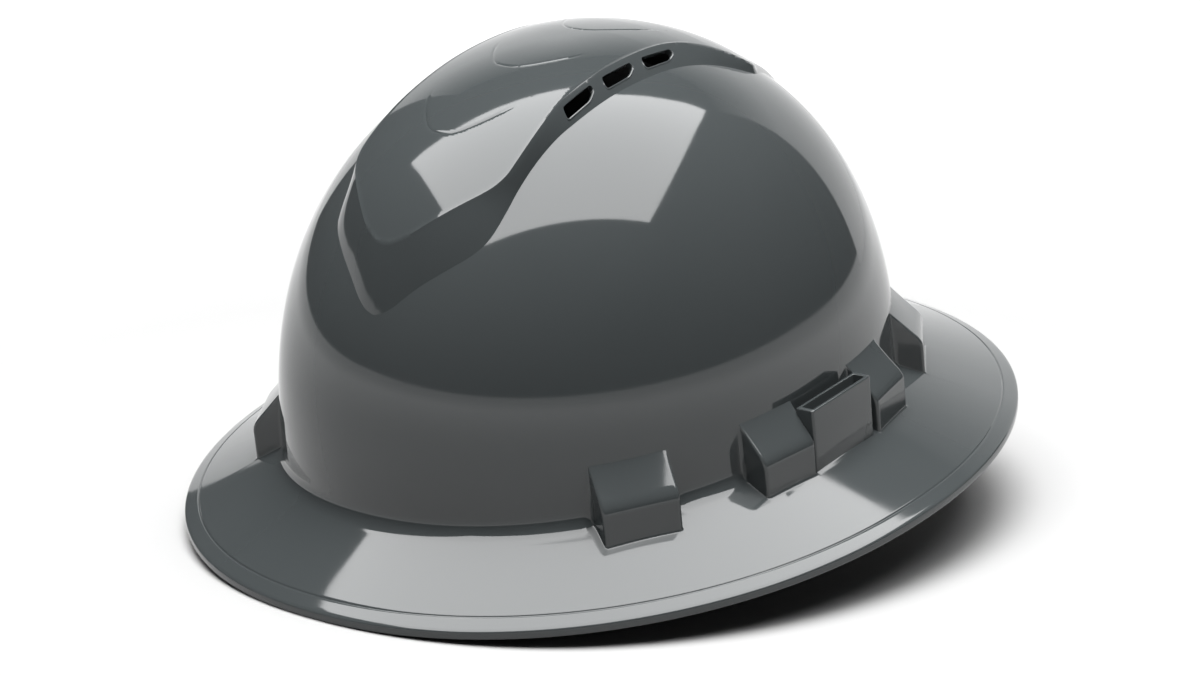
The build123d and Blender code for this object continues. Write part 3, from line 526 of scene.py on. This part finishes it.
def vent_frame(y, side):
    """Foot and upper edge of the crest's wall at a station, as 3-D points."""
    foot_x = float(np.interp(y, CREST_FOOT[:, 1], CREST_FOOT[:, 0]))
    top_x = float(np.interp(y, CREST_TOP[:, 1], CREST_TOP[:, 0]))
    proud = CREST * float(np.interp(y, CREST_PROUD_Y, CREST_PROUD))
    foot = np.array((side * foot_x, y, float(dome_height(foot_x, y))))
    return foot, np.array((side * top_x, y, float(dome_height(top_x, y, proud))))


def rounded_polygon(corners, radius, steps=4):
    out = []
    for i in range(len(corners)):
        a, b, c = (np.array(corners[(i + k) % len(corners)], float) for k in (-1, 0, 1))
        reach = min(radius, 0.45 * np.linalg.norm(a - b), 0.45 * np.linalg.norm(c - b))
        p, q = b + unit(a - b) * reach, b + unit(c - b) * reach
        out += [(1 - t) ** 2 * p + 2 * t * (1 - t) * b + t * t * q for t in np.arange(steps + 1) / steps]
    return np.array(out)


def vent_shape(number, side, grow):
    """Points of a vent's outline on the crest's wall, and the wall's normal at each."""
    middle = VENT_FRONT + VENT_LENGTH / 2 + number * (VENT_LENGTH + VENT_BRIDGE)
    length, height = VENT_LENGTH + 2 * grow, VENT_HEIGHT + 2 * grow
    points, normals = [], []
    for u, v in rounded_polygon([(u * length, v * height) for u, v in VENT_OUTLINE], 1.6 if grow else 1.3):
        foot, upper = vent_frame(middle + u, side)
        ahead_foot, ahead_upper = vent_frame(middle + u + 0.5, side)
        n = unit(np.cross((ahead_foot + ahead_upper - foot - upper) / 2, upper - foot))
        points.append((foot + upper) / 2 + unit(upper - foot) * v)
        normals.append(-n if n[2] < 0 else n)
    return np.array(points), np.array(normals)


def local_to_worn(points, station, side):
    """Points given as outward, lateral and height from a station on the dome's foot."""
    place, _, n, t = foot_place(station, side)
    p = np.asarray(points, float)
    return np.concatenate([place + p[..., :1] * n + p[..., 1:2] * t, p[..., 2:]], -1)


def bore_cutter(station, half, side):
    """The hollow of a pocket: its inner face follows the dome, its outer face the roll."""
    lateral = np.linspace(-half, half, 9)
    rings = []
    for z in (-6.0, 5.0, 14.0, 20.0, POCKET_FACE - 2.0, POCKET_FACE + 1.5, POCKET_FACE + 4.5):
        roll_back = max(z - POCKET_FACE + 2.0, 0) * POCKET_DEPTH / ROLL_HEIGHT
        ring = [(POCKET_DEPTH - POCKET_WALL - roll_back, s, z) for s in lateral]
        for s in lateral[::-1]:
            edge = 0.0
            for _ in range(12):
                x, y = local_to_worn((edge, s, z), station, side)[:2]
                edge -= (dome_reach(x, y) - reach_at(z)) * 110
            ring.append((edge + 0.05, s, z))
        rings.append(ring)
    return tube_mesh(local_to_worn(rings, station, side))


def rounded_rectangle(x0, x1, half, radius, z):
    corners = [(x0, -half), (x1, -half), (x1, half), (x0, half)]
    return [(*p, z) for p in rounded_polygon(corners, radius, 5)]


def slot_box_mesh(side):
    """The accessory slot: an upright box with a deep opening, and the web that ties it to the dome."""
    inner, outer, half, bottom, top, edge = 1.8, 9.0, 17.6, 12.0, 36.8, 0.6
    near, far, width, floor, lip = 3.1, 7.7, 15.8, 17.0, 0.3  # of its mouth
    box = [(inner, outer, half, 1.0, bottom)]
    for turn in np.radians((0, 22, 45, 68, 90)):
        inset, level = edge * (1 - math.cos(turn)), top - edge * (1 - math.sin(turn))
        box.append((inner + inset, outer - inset, half - inset, 1.0, level))
    for turn in np.radians((90, 60, 30, 0)):
        inset, level = lip * (1 - math.cos(turn)), top - lip * (1 - math.sin(turn))
        box.append((near - inset, far + inset, width + inset, 0.6, level))
    box.append((near, far, width, 0.5, floor))
    web = [(-1.6, 2.6, half - 0.1, 0.6, z) for z in (15.0, 29.6)] + [(-1.3, 2.4, half - 0.4, 0.5, 30.0)]
    return merge([tube_mesh(local_to_worn([rounded_rectangle(*ring) for ring in form], SLOT_STATION, side))
                  for form in (box, web)])


def circle(centre, u, v, radius, count):
    turn = np.arange(count)[:, None] * 2 * math.pi / count
    return centre + radius * (np.cos(turn) * u + np.sin(turn) * v)


def tube_along(path, radius, closed=True, around=8):
    """A round bead along a path."""
    ahead, behind = np.roll(path, -1, axis=0), np.roll(path, 1, axis=0)
    if not closed:
        ahead[-1], behind[0] = path[-1], path[0]
    d = unit(ahead - behind)
    u = unit(np.cross(d, (0.0, 0.3, 1.0)))
    rings = [circle(*ring, radius, around) for ring in zip(path, u, np.cross(d, u))]
    return tube_mesh(rings + rings[:1] if closed else rings, cap=not closed)


def cut_away(obj, cutter):
    cut = obj.modifiers.new("cut", "BOOLEAN")
    cut.operation = "DIFFERENCE"
    cut.object = cutter
    cut.solver = "EXACT"
    result = bpy.data.meshes.new_from_object(obj.evaluated_get(bpy.context.evaluated_depsgraph_get()))
    obj.modifiers.clear()
    whole, obj.data = obj.data, result
    bpy.data.meshes.remove(whole)
    bpy.data.objects.remove(cutter)


def make_shell():
    vertices, faces, drawn = shell_mesh()
    shell = mesh_object("shell_body", vertices, faces)
    with edited(shell) as bm:
        # Points drawn onto one edge can lie almost on each other.
        bm.verts.ensure_lookup_table()
        marked = {bm.verts[i] for i in drawn}
        short = [edge for edge in bm.edges if edge.verts[0] in marked and edge.verts[1] in marked]
        bmesh.ops.dissolve_degenerate(bm, dist=0.00006, edges=short)
        bmesh.ops.recalc_face_normals(bm, faces=bm.faces)
    cutters, extras = [], []
    for side in (1, -1):
        cutters += [bore_cutter(station, half, side) for station, half in BORES]
        extras.append(slot_box_mesh(side))
        for number in range(VENT_COUNT):
            points, normals = vent_shape(number, side, 0.0)
            cutters.append(tube_mesh([points + normals * 5.0, points - normals * 7.5]))
            points, normals = vent_shape(number, side, 0.35)
            extras.append(tube_along(points + normals * 0.12, 0.45))
    cutter = mesh_object("shell_cutter", *merge(cutters))
    fix_normals(cutter)
    cut_away(shell, cutter)
    extra = mesh_object("shell_extra", *merge(extras))
    fix_normals(extra, weld=0.0000001)
    with edited(shell) as bm:
        bm.from_mesh(extra.data)
    bpy.data.objects.remove(extra)
    shade(shell)
    sharpen_foot(shell)
    return shell


def read_values(items, name, width, kind=float):
    """An attribute of many items as an array with a row for each."""
    values = np.zeros(len(items) * width, kind)
    items.foreach_get(name, values)
    return values.reshape(-1, width)


def sharpen_foot(shell):
    """Mark the edges along the crest's foot as sharp, so that it reads as one clean line."""
    p = read_values(shell.data.vertices, "co", 3) * 1000 - (0, SHIFT_Y, SHIFT_Z)
    across, along = np.abs(p[:, 0]), p[:, 1] * TIP_COS + p[:, 2] * TIP_SIN
    up = p[:, 2] * TIP_COS - p[:, 1] * TIP_SIN
    likely = (across < 40) & (np.abs(along) < 113) & (up > 50)
    likely &= np.abs(up - dome_height(across, along)) < 0.02
    on_foot = np.zeros(len(p), bool)
    on_foot[likely] = np.abs(search(across[likely], along[likely], CREST_FOOT)[0]) < 0.02
    ends = read_values(shell.data.edges, "vertices", 2, int)
    sharp = read_values(shell.data.edges, "use_edge_sharp", 1, bool).ravel()
    shell.data.edges.foreach_set("use_edge_sharp", sharp | (on_foot[ends[:, 0]] & on_foot[ends[:, 1]]))


# Materials. An input takes a value, or the output of another node.


def add_node(tree, kind, output, inputs, **settings):
    """A new node, and its output or the node itself when output is None."""
    node = tree.nodes.new("ShaderNode" + kind)
    for name, value in settings.items():
        setattr(node, name, value)
    for name, value in inputs.items():
        if isinstance(value, bpy.types.NodeSocket):
            tree.links.new(value, node.inputs[name])
        elif value is not None:
            node.inputs[name].default_value = value
    return node if output is None else node.outputs[output]


def noise(tree, vector, scale, detail=4.0, rough=0.5):
    inputs = {"Vector": vector, "Scale": scale, "Detail": detail, "Roughness": rough}
    return add_node(tree, "TexNoise", "Fac", inputs)


def ramp(tree, source, low, high, at=(0.3, 0.7)):
    node = add_node(tree, "ValToRGB", None, {"Fac": source})
    for element, place, color in zip(node.color_ramp.elements, at, (low, high)):
        element.position = place
        element.color = (*color, 1)
    return node.outputs["Color"]


def spread(tree, source, low, high, at=(0.3, 0.7)):
    inputs = {"Value": source, "From Min": at[0], "From Max": at[1], "To Min": low, "To Max": high}
    return add_node(tree, "MapRange", "Result", inputs)


def bump(tree, source, strength, distance, normal=None):
    inputs = {"Height": source, "Strength": strength, "Distance": distance, "Normal": normal}
    return add_node(tree, "Bump", "Normal", inputs)


def sum_of(tree, first, share, second):
    return add_node(tree, "Math", 0, {0: first, 1: share, 2: second}, operation="MULTIPLY_ADD")


def new_material(name):
    """An empty material's node tree and its object coordinates."""
    material = bpy.data.materials.new(name)
    material.use_nodes = True
    tree = material.node_tree
    tree.nodes.clear()
    return material, tree, add_node(tree, "TexCoord", "Object", {})


def finished(material, inputs):
    """The material, with a principled shader that takes these inputs."""
    tree = material.node_tree
    add_node(tree, "OutputMaterial", None, {"Surface": add_node(tree, "BsdfPrincipled", "BSDF", inputs)})
    return material


def plastic(name, low, high, rough, grain, grain_depth, wave=0.0):
    """Moulded plastic: slightly mottled colour, uneven gloss and a fine grain."""
    material, tree, place = new_material(name)
    normal = bump(tree, noise(tree, place, grain, 2.0), 0.5, grain_depth)
    if wave:
        normal = bump(tree, noise(tree, place, 22.0, 1.0, 0.3), 0.5, wave, normal)
    return finished(material, {
        "Base Color": ramp(tree, noise(tree, place, 9.0, 3.0), low, high),
        "Roughness": spread(tree, noise(tree, place, 60.0, 5.0, 0.6), *rough),
        "Normal": normal, "IOR": 1.5})


def woven(name, low, high, across, along):
    """Webbing: two crossed sets of yarns in the piece's own UV, in metres."""
    material, tree, place = new_material(name)
    uv = add_node(tree, "UVMap", "UV", {}, uv_map="UVMap")
    yarns = []
    for angle, scale in ((0.0, across), (math.pi / 2, along)):
        turned = add_node(tree, "Mapping", "Vector", {"Vector": uv, "Rotation": (0.0, 0.0, angle)})
        inputs = {"Vector": turned, "Scale": scale, "Distortion": 0.6, "Detail": 1.0, "Detail Scale": 2.0}
        yarns.append(add_node(tree, "TexWave", "Fac", inputs,
                              wave_type="BANDS", bands_direction="X", wave_profile="SIN"))
    crossed = add_node(tree, "Math", 0, {0: yarns[0], 1: yarns[1]}, operation="MULTIPLY")
    weave = sum_of(tree, noise(tree, place, 2200.0, 2.0), 0.5, crossed)
    return finished(material, {
        "Base Color": ramp(tree, weave, low, high, (0.15, 0.95)),
        "Normal": bump(tree, weave, 0.8, 0.0004), "Roughness": 0.85,
        "Sheen Weight": 0.25, "Sheen Roughness": 0.5})


def terry_cloth(name, low, high):
    """Looped towelling: small round loops, each a little different, with a soft sheen."""
    material, tree, place = new_material(name)
    cells = add_node(tree, "TexVoronoi", "Distance", {"Vector": place, "Scale": 1350.0, "Randomness": 0.75})
    loops = spread(tree, cells, 1.0, 0.0, (0.0, 0.75))
    pile = sum_of(tree, noise(tree, place, 2600.0, 4.0, 0.7), 1.1, loops)
    return finished(material, {
        "Base Color": ramp(tree, pile, low, high, (0.5, 1.6)),
        "Normal": bump(tree, pile, 0.9, 0.00028), "Roughness": 0.95,
        "Sheen Weight": 0.3, "Sheen Roughness": 0.6})


def thread_twist(name, low, high):
    """Sewing thread: fine strands with a little gloss."""
    material, tree, place = new_material(name)
    strands = noise(tree, place, 4000.0, 2.0)
    return finished(material, {
        "Base Color": ramp(tree, strands, low, high),
        "Normal": bump(tree, strands, 0.6, 0.0001),
        "Roughness": spread(tree, strands, 0.45, 0.7)})


def plain_metal(name, low, high):
    material, tree, place = new_material(name)
    return finished(material, {
        "Base Color": ramp(tree, noise(tree, place, 300.0), low, high),
        "Roughness": spread(tree, noise(tree, place, 900.0), 0.25, 0.45),
        "Normal": bump(tree, noise(tree, place, 1500.0), 0.3, 0.00005), "Metallic": 1.0})


shell_plastic = plastic("shell_plastic", (0.0275, 0.0312, 0.0322), (0.0305, 0.0342, 0.0352), (0.045, 0.075),
                        2500.0, 0.000002, 0.00003)
dark_plastic = plastic("dark_plastic", (0.018, 0.018, 0.019), (0.028, 0.028, 0.029), (0.38, 0.55),
                       1800.0, 0.00006)
band_plastic = plastic("band_plastic", (0.014, 0.014, 0.015), (0.021, 0.021, 0.022), (0.32, 0.48),
                       900.0, 0.00005)
ratchet_plastic = plastic("ratchet_plastic", (0.016, 0.016, 0.017), (0.026, 0.026, 0.027), (0.42, 0.6),
                          2400.0, 0.0001)
pale_plastic = plastic("pale_plastic", (0.52, 0.51, 0.46), (0.62, 0.61, 0.56), (0.3, 0.42), 1500.0, 0.00003)
screw_metal = plain_metal("screw_metal", (0.42, 0.42, 0.43), (0.62, 0.62, 0.61))
webbing = woven("webbing", (0.012, 0.012, 0.013), (0.055, 0.055, 0.058), 230.0, 170.0)
terry = terry_cloth("terry", (0.010, 0.010, 0.011), (0.045, 0.045, 0.048))
thread = thread_twist("thread", (0.11, 0.11, 0.115), (0.24, 0.24, 0.25))


def paint(obj, material):
    obj.data.materials.clear()
    obj.data.materials.append(material)


def dress(obj, material, degrees):
    fix_normals(obj)
    shade(obj, degrees)
    paint(obj, material)


def paint_node(name, material):
    obj = frame["nodes"][name]
    if not obj.material_slots:
        obj.data.materials.append(material)
    for place in obj.material_slots:
        place.material = material


shell = make_shell()
paint(shell, shell_plastic)
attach(shell, "shell")
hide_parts("shell")

for end in ("front_left", "front_right", "rear_left", "rear_right"):
    paint_node("suspension_key_" + end, dark_plastic)
    paint_node("height_stud_" + end, ratchet_plastic)
for material, names in (
        (band_plastic, ["headband"]), (pale_plastic, ["ratchet_pinion", "detent_spring"]),
        (ratchet_plastic, ["ratchet_housing", "ratchet_cover", "ratchet_knob", "strap_rivets"]),
        (screw_metal, ["ratchet_screws", "knob_screw"])):
    for name in names:
        paint_node(name, material)

# Soft pieces and straps

HEAD_TURN = np.linspace(-math.pi, math.pi, 4001)
HEAD_ARC = running(np.hypot(np.diff(HEAD_A * np.sin(HEAD_TURN)), np.diff(HEAD_B * np.cos(HEAD_TURN))))
HEAD_ARC -= HEAD_ARC[len(HEAD_ARC) // 2]
PAD_REACH, PAD_EDGE = 9.0, 1.0  # how far in a pad is crowned, and its thickness at the border
SEAM_INSET, SEAM_DEPTH, SEAM_WIDTH = 3.0, 0.55, 0.7
THREAD_LIFT = 0.05  # how far stitches stand off the cloth
CORNER_STEPS = 1 - np.cos(np.linspace(0, math.pi / 2, 9))
LEG_LEVELS = (29.2, 30.2, 31.5, 33.0, 34.5, 35.6)  # of a crown strap inside its key
WEBBING_STEP, WEBBING_PLAY, WEBBING_SAG = 1.4, 0.12, 0.42
WHITE = (1, 1, 1, 1)


def head_place(s, z, outset):
    """Points at arc lengths from the front middle round the head's outline, standing off it by outset."""
    turn = np.interp(s, HEAD_ARC, HEAD_TURN)
    return np.stack([(HEAD_A + outset) * np.sin(turn), HEAD_Y - (HEAD_B + outset) * np.cos(turn), z], -1)


def head_arc_at(y):
    """Arc length from the front middle to a station along Y, on the left."""
    return float(np.interp(math.acos((HEAD_Y - y) / HEAD_B), HEAD_TURN, HEAD_ARC))


def edge_distance(points, border):
    """Distance of flat points to a closed border."""
    best = np.full(points.shape[:-1], 1e9)
    for a, b in zip(border, np.roll(border, -1, axis=0)):
        d = b - a
        root = float(d @ d)
        if root == 0:
            continue
        t = np.clip(((points - a) @ d) / root, 0, 1)
        best = np.minimum(best, np.linalg.norm(points - a - t[..., None] * d, axis=-1))
    return best


def pillow(distance, full):
    """Thickness of a crowned pad at a distance from its border, pinched by its line of stitches."""
    t = np.clip(distance / PAD_REACH, 0, 1)
    thick = PAD_EDGE + (full - PAD_EDGE) * np.sqrt(1 - (1 - t) ** 2)
    return thick - SEAM_DEPTH * np.exp(-((distance - SEAM_INSET) / SEAM_WIDTH) ** 2)


def stitches(path, normals, length=2.3, gap=0.9, radius=0.24):
    """A line of stitches along a path: short rounded threads that dip at both ends."""
    run = run_of(path)
    count = max(int(run[-1] / (length + gap)), 1)
    # One stitch: the places along it, how far it stands off there and how thick it is.
    along = np.array((-0.5, -0.3, 0.0, 0.3, 0.5)) * length
    lift = np.array((-0.3, 0.05, 0.12, 0.05, -0.3))
    thick = np.array((0.45, 0.9, 1.0, 0.9, 0.45)) * radius
    forms = []
    for middle in (np.arange(count) + 0.5) * run[-1] / count:
        up = at_run(middle + along, run, normals)
        centre = at_run(middle + along, run, path) + up * lift[:, None]
        d = unit(centre[-1] - centre[0])
        u = unit(up[2] - d * (up[2] @ d))
        forms.append(tube_mesh([circle(c, u, np.cross(d, u), r, 6) for c, r in zip(centre, thick)]))
    return merge(forms)


def stitched(name, body, forms):
    """The stitches of a piece, which ride with it."""
    seams = mesh_object(name + "_stitching", *merge(forms))
    dress(seams, thread, 0)
    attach(seams, body)


def soft_piece(name, rings, uv, material, degrees):
    """A closed piece through rings, with a UV in metres from a pair of millimetres for each vertex."""
    piece = mesh_object(name, *tube_mesh(rings))
    dress(piece, material, degrees)
    layer = piece.data.uv_layers.new(name="UVMap")
    corners = read_values(piece.data.loops, "vertex_index", 1, int).ravel()
    layer.data.foreach_set("uv", (np.asarray(uv)[corners] / 1000.0).ravel())
    return piece


def strap_path(front_side, layer):
    """Centre line, width direction and normal of a crown strap, from inside one key to inside the other."""
    ends = []
    for station, side in ((FRONT_KEY, front_side), (REAR_KEY, -front_side)):
        place, _, n, t = foot_place(station, side)
        ends.append((place + n * STRAP_OUTSET, n, t))
    (p0, n0, t0), (p1, n1, t1) = ends
    half_span = np.linalg.norm(p1 - p0) / 2
    ahead = unit(p1 - p0)
    wide = np.array((-ahead[1], ahead[0]))
    t0, t1 = (t if wide @ t > 0 else -t for t in (t0, t1))
    shift = KEY_LEG_INNER - STRAP_THICKNESS / 2 - WEBBING_PLAY - STRAP_OUTSET
    rise = STRAP_CROWN - layer * (STRAP_THICKNESS + 0.9) - STRAP_FOOT - STRAP_THICKNESS / 2
    turn = np.linspace(0, math.pi, 1201)
    arch = np.stack([-half_span * np.cos(turn), rise * np.sin(turn)], -1)
    run = run_of(arch)
    arch = at_run(np.linspace(0, run[-1], int(run[-1] / WEBBING_STEP)), run, arch)
    crossing = p0[0] / (p0[0] - p1[0]) * 2 * half_span - half_span

    points = [(*(p0 + n0 * shift), level) for level in LEG_LEVELS]
    widths = [(*t0, 0.0)] * len(LEG_LEVELS)
    for along, height in arch:
        n, t = (n0, t0) if along < 0 else (n1, t1)
        near = 1 - smooth(height / 26)
        flat = (p0 + p1) / 2 + ahead * along + n * shift * (1 - smooth(height / 14))
        sag = (WEBBING_SAG if layer else -WEBBING_SAG) * math.exp(-((along - crossing) / 16) ** 2)
        points.append((*flat, STRAP_FOOT + height + sag))
        widths.append((*unit(wide * (1 - near) + t * near), 0.0))
    points += [(*(p1 + n1 * shift), level) for level in LEG_LEVELS[::-1]]
    widths += [(*t1, 0.0)] * len(LEG_LEVELS)
    points, widths = np.array(points), np.array(widths)
    return points, widths, unit(np.cross(widths, unit(np.gradient(points, axis=0))))


def make_crown_strap(name, front_side, layer):
    """A woven strip, its stitches inside both keys and the sewn square at its middle."""
    points, widths, normals = strap_path(front_side, layer)
    run = run_of(points)
    across = np.concatenate([[-1, -0.985, -0.95], np.linspace(-0.88, 0.88, 11), [0.95, 0.985, 1]])
    thick = np.concatenate([[0.3, 0.7, 0.95], np.ones(11), [0.95, 0.7, 0.3]])
    across = np.concatenate([across, across[::-1]]) * STRAP_WIDTH / 2
    thick = np.concatenate([thick, -thick[::-1]]) * STRAP_THICKNESS / 2
    rings = [place + across[:, None] * wide + thick[:, None] * up
             for place, wide, up in zip(points, widths, normals)]
    uv = [(a, length) for length in run for a in across]
    strap = soft_piece(name + "_webbing", rings, uv, webbing, 50)
    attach(strap, "shell")
    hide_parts(name)
    inward = -1 if normals[len(normals) // 2][2] > 0 else 1

    def on_strap(across, along, face):
        """Points on a face of the strap and the directions away from it."""
        place, wide, up = (at_run(along, run, rows) for rows in (points, widths, normals * face * inward))
        return place + wide * across[:, None] + up * (STRAP_THICKNESS / 2 + THREAD_LIFT), up

    forms = []
    zigzag = np.linspace(-7.8, 7.8, 27)
    for at_end in (False, True):
        for middle in (1.8, 4.2):
            along = middle + 0.7 * (-1.0) ** np.arange(len(zigzag))
            line, _ = on_strap(zigzag, run[-1] - along if at_end else along, 1)
            forms.append(tube_along(line, 0.24, closed=False, around=6))
    middle = (run[len(LEG_LEVELS)] + run[-len(LEG_LEVELS) - 1]) / 2
    corners = 6.6 * np.array([(-1, -1), (1, -1), (1, 1), (-1, 1)])
    for start, end in ((0, 1), (1, 2), (2, 3), (3, 0), (0, 2), (1, 3)):
        seam = corners[start] + (corners[end] - corners[start]) * np.linspace(0, 1, 12)[:, None]
        forms.append(stitches(*on_strap(seam[:, 0], middle + seam[:, 1], 1 if layer else -1)))
    stitched(name, "shell", forms)


def inset_line(border, inset, step=1.0):
    """A closed line inside a border, for stitches."""
    ahead, behind = np.roll(border, -1, axis=0), np.roll(border, 1, axis=0)
    area = np.sum(border[:, 0] * ahead[:, 1] - ahead[:, 0] * border[:, 1])
    d = unit(ahead - behind)
    line = border + np.stack([-d[:, 1], d[:, 0]], -1) * np.sign(area) * inset
    line = line[edge_distance(line, border) > inset - 0.15]
    line = np.concatenate([line, line[:1]])
    run = run_of(line)
    return at_run(np.linspace(0, run[-1], int(run[-1] / step)), run, line)


def make_pad(name, body, replaced, columns, low, high, full, place, back):
    """A crowned terry pad from its columns' low and high ends, with a line of stitches round its face."""
    border = np.concatenate([np.stack([columns, low], -1), np.stack([columns, high], -1)[::-1]])
    share = (1 - np.cos(np.linspace(0, math.pi, 27))) / 2
    rings, uv = [], []
    for s, z0, z1 in zip(columns, low, high):
        z = z0 + (z1 - z0) * share
        s = np.full(z.shape, s)
        flat = np.stack([s, z], -1)
        thick = pillow(edge_distance(flat, border), full)
        rings.append(np.concatenate([place(s, z, back - thick), place(s, z, back)[::-1]]))
        uv += [*flat, *(flat[::-1] + (0, 60))]
    pad = soft_piece(name, rings, uv, terry, 60)
    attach(pad, body)
    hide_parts(replaced)
    line = inset_line(border, SEAM_INSET)
    face = back - pillow(edge_distance(line, border), full)
    seam = place(*line.T, face - THREAD_LIFT)
    outwards = unit(seam - place(*line.T, face + 1.0))
    stitched(name, body, [stitches(seam, outwards, 2.6, 1.0, 0.3)])


def rounding(left, radius):
    """How far a rounded corner takes a pad's edge in, at a distance from the pad's end."""
    return np.where(left < radius, radius - np.sqrt(np.maximum(radius**2 - (radius - left) ** 2, 0)), 0)


def make_brow_pad():
    """The sweatband: a crowned terry strip inside the headband's front, dipped round the two front studs."""
    end, stud, radius = head_arc_at(12.0), head_arc_at(BROW_STUD_STATION), 9
    dip_depth, dip_half, dip_flank = 6.9, 5.2, 4.5
    fine = np.concatenate([stud + np.linspace(-11, 11, 31), end - radius * CORNER_STEPS])
    columns = np.unique(np.round(np.concatenate([np.linspace(-end, end, 171), fine, -fine]), 3))
    corner = rounding(end - np.abs(columns), radius)
    dip = dip_depth * (1 - smooth((np.abs(np.abs(columns) - stud) - dip_half) / dip_flank))
    low, high = -9.5 + corner, 18.5 - np.maximum(corner, dip)
    make_pad("brow_pad_terry", "headband", "brow_pad", columns, low, high,
             3.9, head_place, -0.35)


def make_nape_pad():
    """The pad inside the ratchet's cover."""
    def place(s, z, outset):
        bow = np.sqrt(1 - (s / (HEAD_A + outset)) ** 2)
        return np.stack([s, HEAD_Y + (HEAD_B + outset) * bow, z], -1)

    half, radius = 34.0, 6.0
    ends = half - radius * CORNER_STEPS
    columns = np.concatenate([-ends, np.linspace(radius - half, half - radius, 45)[1:-1], ends[::-1]])
    corner = rounding(half - np.abs(columns), radius)
    make_pad("nape_pad_terry", "ratchet", "nape_pad", columns, -36 + corner, -2 - corner,
             4.9, place, -1.15)


def make_nape_strap(name):
    """A nape strap that runs from the headband's rivet into the ratchet, cut across at steps along Y."""
    strap = link(bpy.data.objects.new(name + "_bent", frame["nodes"][name].data.copy()))
    if "custom_normal" in strap.data.attributes:
        strap.data.attributes.remove(strap.data.attributes["custom_normal"])
    with edited(strap) as bm:
        bmesh.ops.remove_doubles(bm, verts=bm.verts, dist=0.000002)
        for y in np.arange(46.0, 97.0, 2.5):
            everything = bm.verts[:] + bm.edges[:] + bm.faces[:]
            bmesh.ops.bisect_plane(bm, geom=everything, plane_co=Vector(stand((0.0, y, 0.0))),
                                   plane_no=Vector(turn_direction((0.0, 1.0, 0.0))))
        bmesh.ops.recalc_face_normals(bm, faces=bm.faces)
    shade(strap)
    paint(strap, band_plastic)
    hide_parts(name)
    tuple(stand((0.0, 48.0, -19.0)))
    tuple(stand((0.0, 94.0, -19.0)))
    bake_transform(strap)


make_crown_strap("crown_strap_left_front", 1, 0)
make_crown_strap("crown_strap_right_front", -1, 1)
make_brow_pad()
make_nape_pad()
make_nape_strap("nape_strap_left")
make_nape_strap("nape_strap_right")


def place_camera():
    """The camera at the photograph's angle, fitted to the hat as worn and turned with it."""
    angles = np.radians((40.607, 23.199, -5.772))  # azimuth, rise and roll
    (sin_a, sin_r, sin_roll), (cos_a, cos_r, cos_roll) = np.sin(angles), np.cos(angles)
    distance = 1224.0
    focal, off_across, off_above = 3333.65, 3.585, 96.704  # in pixels of the photograph
    back = np.array((sin_a * cos_r, -cos_a * cos_r, sin_r))
    right = np.array((cos_a, sin_a, 0.0))
    up = np.cross(back, right)
    across, above = cos_roll * right + sin_roll * up, cos_roll * up - sin_roll * right
    look = turn_direction(unit(-back - across * off_across / focal + above * off_above / focal))
    side = unit(np.cross(look, turn_direction(above)))
    data = bpy.data.cameras.new("camera")
    data.lens = 100.0
    data.sensor_width = 36.0
    data.clip_start = 0.01
    camera = link(bpy.data.objects.new("camera", data))
    rows = zip(side, np.cross(side, look), -look, stand(back * distance))
    camera.matrix_world = Matrix((*rows, (0, 0, 0, 1)))
    bpy.context.scene.camera = camera


def make_floor():
    """A pale floor, painted darker near the hat and a little brighter far off, with a painted glow far off,
    where the softbox lights it less.
    """
    floor = link(bpy.data.objects.new("floor", bpy.data.meshes.new("floor")))
    with edited(floor) as bm:
        bmesh.ops.create_circle(bm, cap_ends=True, radius=7.0, segments=64)
    material, tree, place = new_material("floor_paper")
    far = add_node(tree, "VectorMath", "Value", {0: place}, operation="LENGTH")
    paint(floor, finished(material, {
        # painted light: the colour is darker near the hat and brighter far off, and the floor glows far off,
        # standing in for how the softbox lights it
        "Base Color": ramp(tree, far, (0.26,) * 3, (0.42,) * 3, (0.32, 0.95)),
        "Emission Color": WHITE,
        "Emission Strength": spread(tree, far, 0.0, 0.3, (0.4, 1.1)),
        "Roughness": 0.9, "Specular IOR Level": 0.1}))


def make_backdrop():
    """A curved white screen behind the hat's right rear side, seen only as a soft light in its gloss."""
    radius, levels = 2.3, (0.0, 1.1, 2.2)
    ring = [(radius * math.sin(a), -radius * math.cos(a)) for a in np.radians(np.linspace(-112, -190, 24))]
    faces = grid_faces(len(levels), len(ring), False)
    screen = mesh_object("backdrop", [(*p, z) for z in levels for p in ring], faces, worn=False)
    material, tree, place = new_material("backdrop_paper")
    level = add_node(tree, "SeparateXYZ", "Z", {0: place})
    paint(screen, finished(material, {
        "Base Color": (0.15, 0.15, 0.15, 1), "Emission Color": WHITE,
        "Emission Strength": spread(tree, level, 1.05, 0.1, (1.15, 2.15))}))


def make_lights():
    """A white world that is bright only to the camera, a softbox over the hat and a wide soft sun."""
    world = bpy.data.worlds.new("studio")
    world.use_nodes = True
    bpy.context.scene.world = world
    tree = world.node_tree
    background = tree.nodes["Background"]
    background.inputs["Color"].default_value = WHITE
    direct = add_node(tree, "LightPath", "Is Camera Ray", {})
    tree.links.new(spread(tree, direct, 0.04, 0.9, (0.0, 1.0)), background.inputs["Strength"])
    softbox = bpy.data.lights.new("softbox", "AREA")
    softbox.shape = "RECTANGLE"
    softbox.size, softbox.size_y = 1.5, 1.07
    softbox.energy = 38
    lamp = link(bpy.data.objects.new("softbox", softbox))
    lamp.location = (0.065, -0.105, 1.0)
    lamp.rotation_euler = (0, 0, math.atan2(0.733, 0.68))
    overhead = bpy.data.lights.new("overhead", "SUN")
    overhead.energy = 5.0
    overhead.angle = math.radians(35)
    link(bpy.data.objects.new("overhead", overhead)).visible_glossy = False
    bpy.context.scene.view_settings.view_transform = "Standard"


place_camera()
make_floor()
make_backdrop()
make_lights()
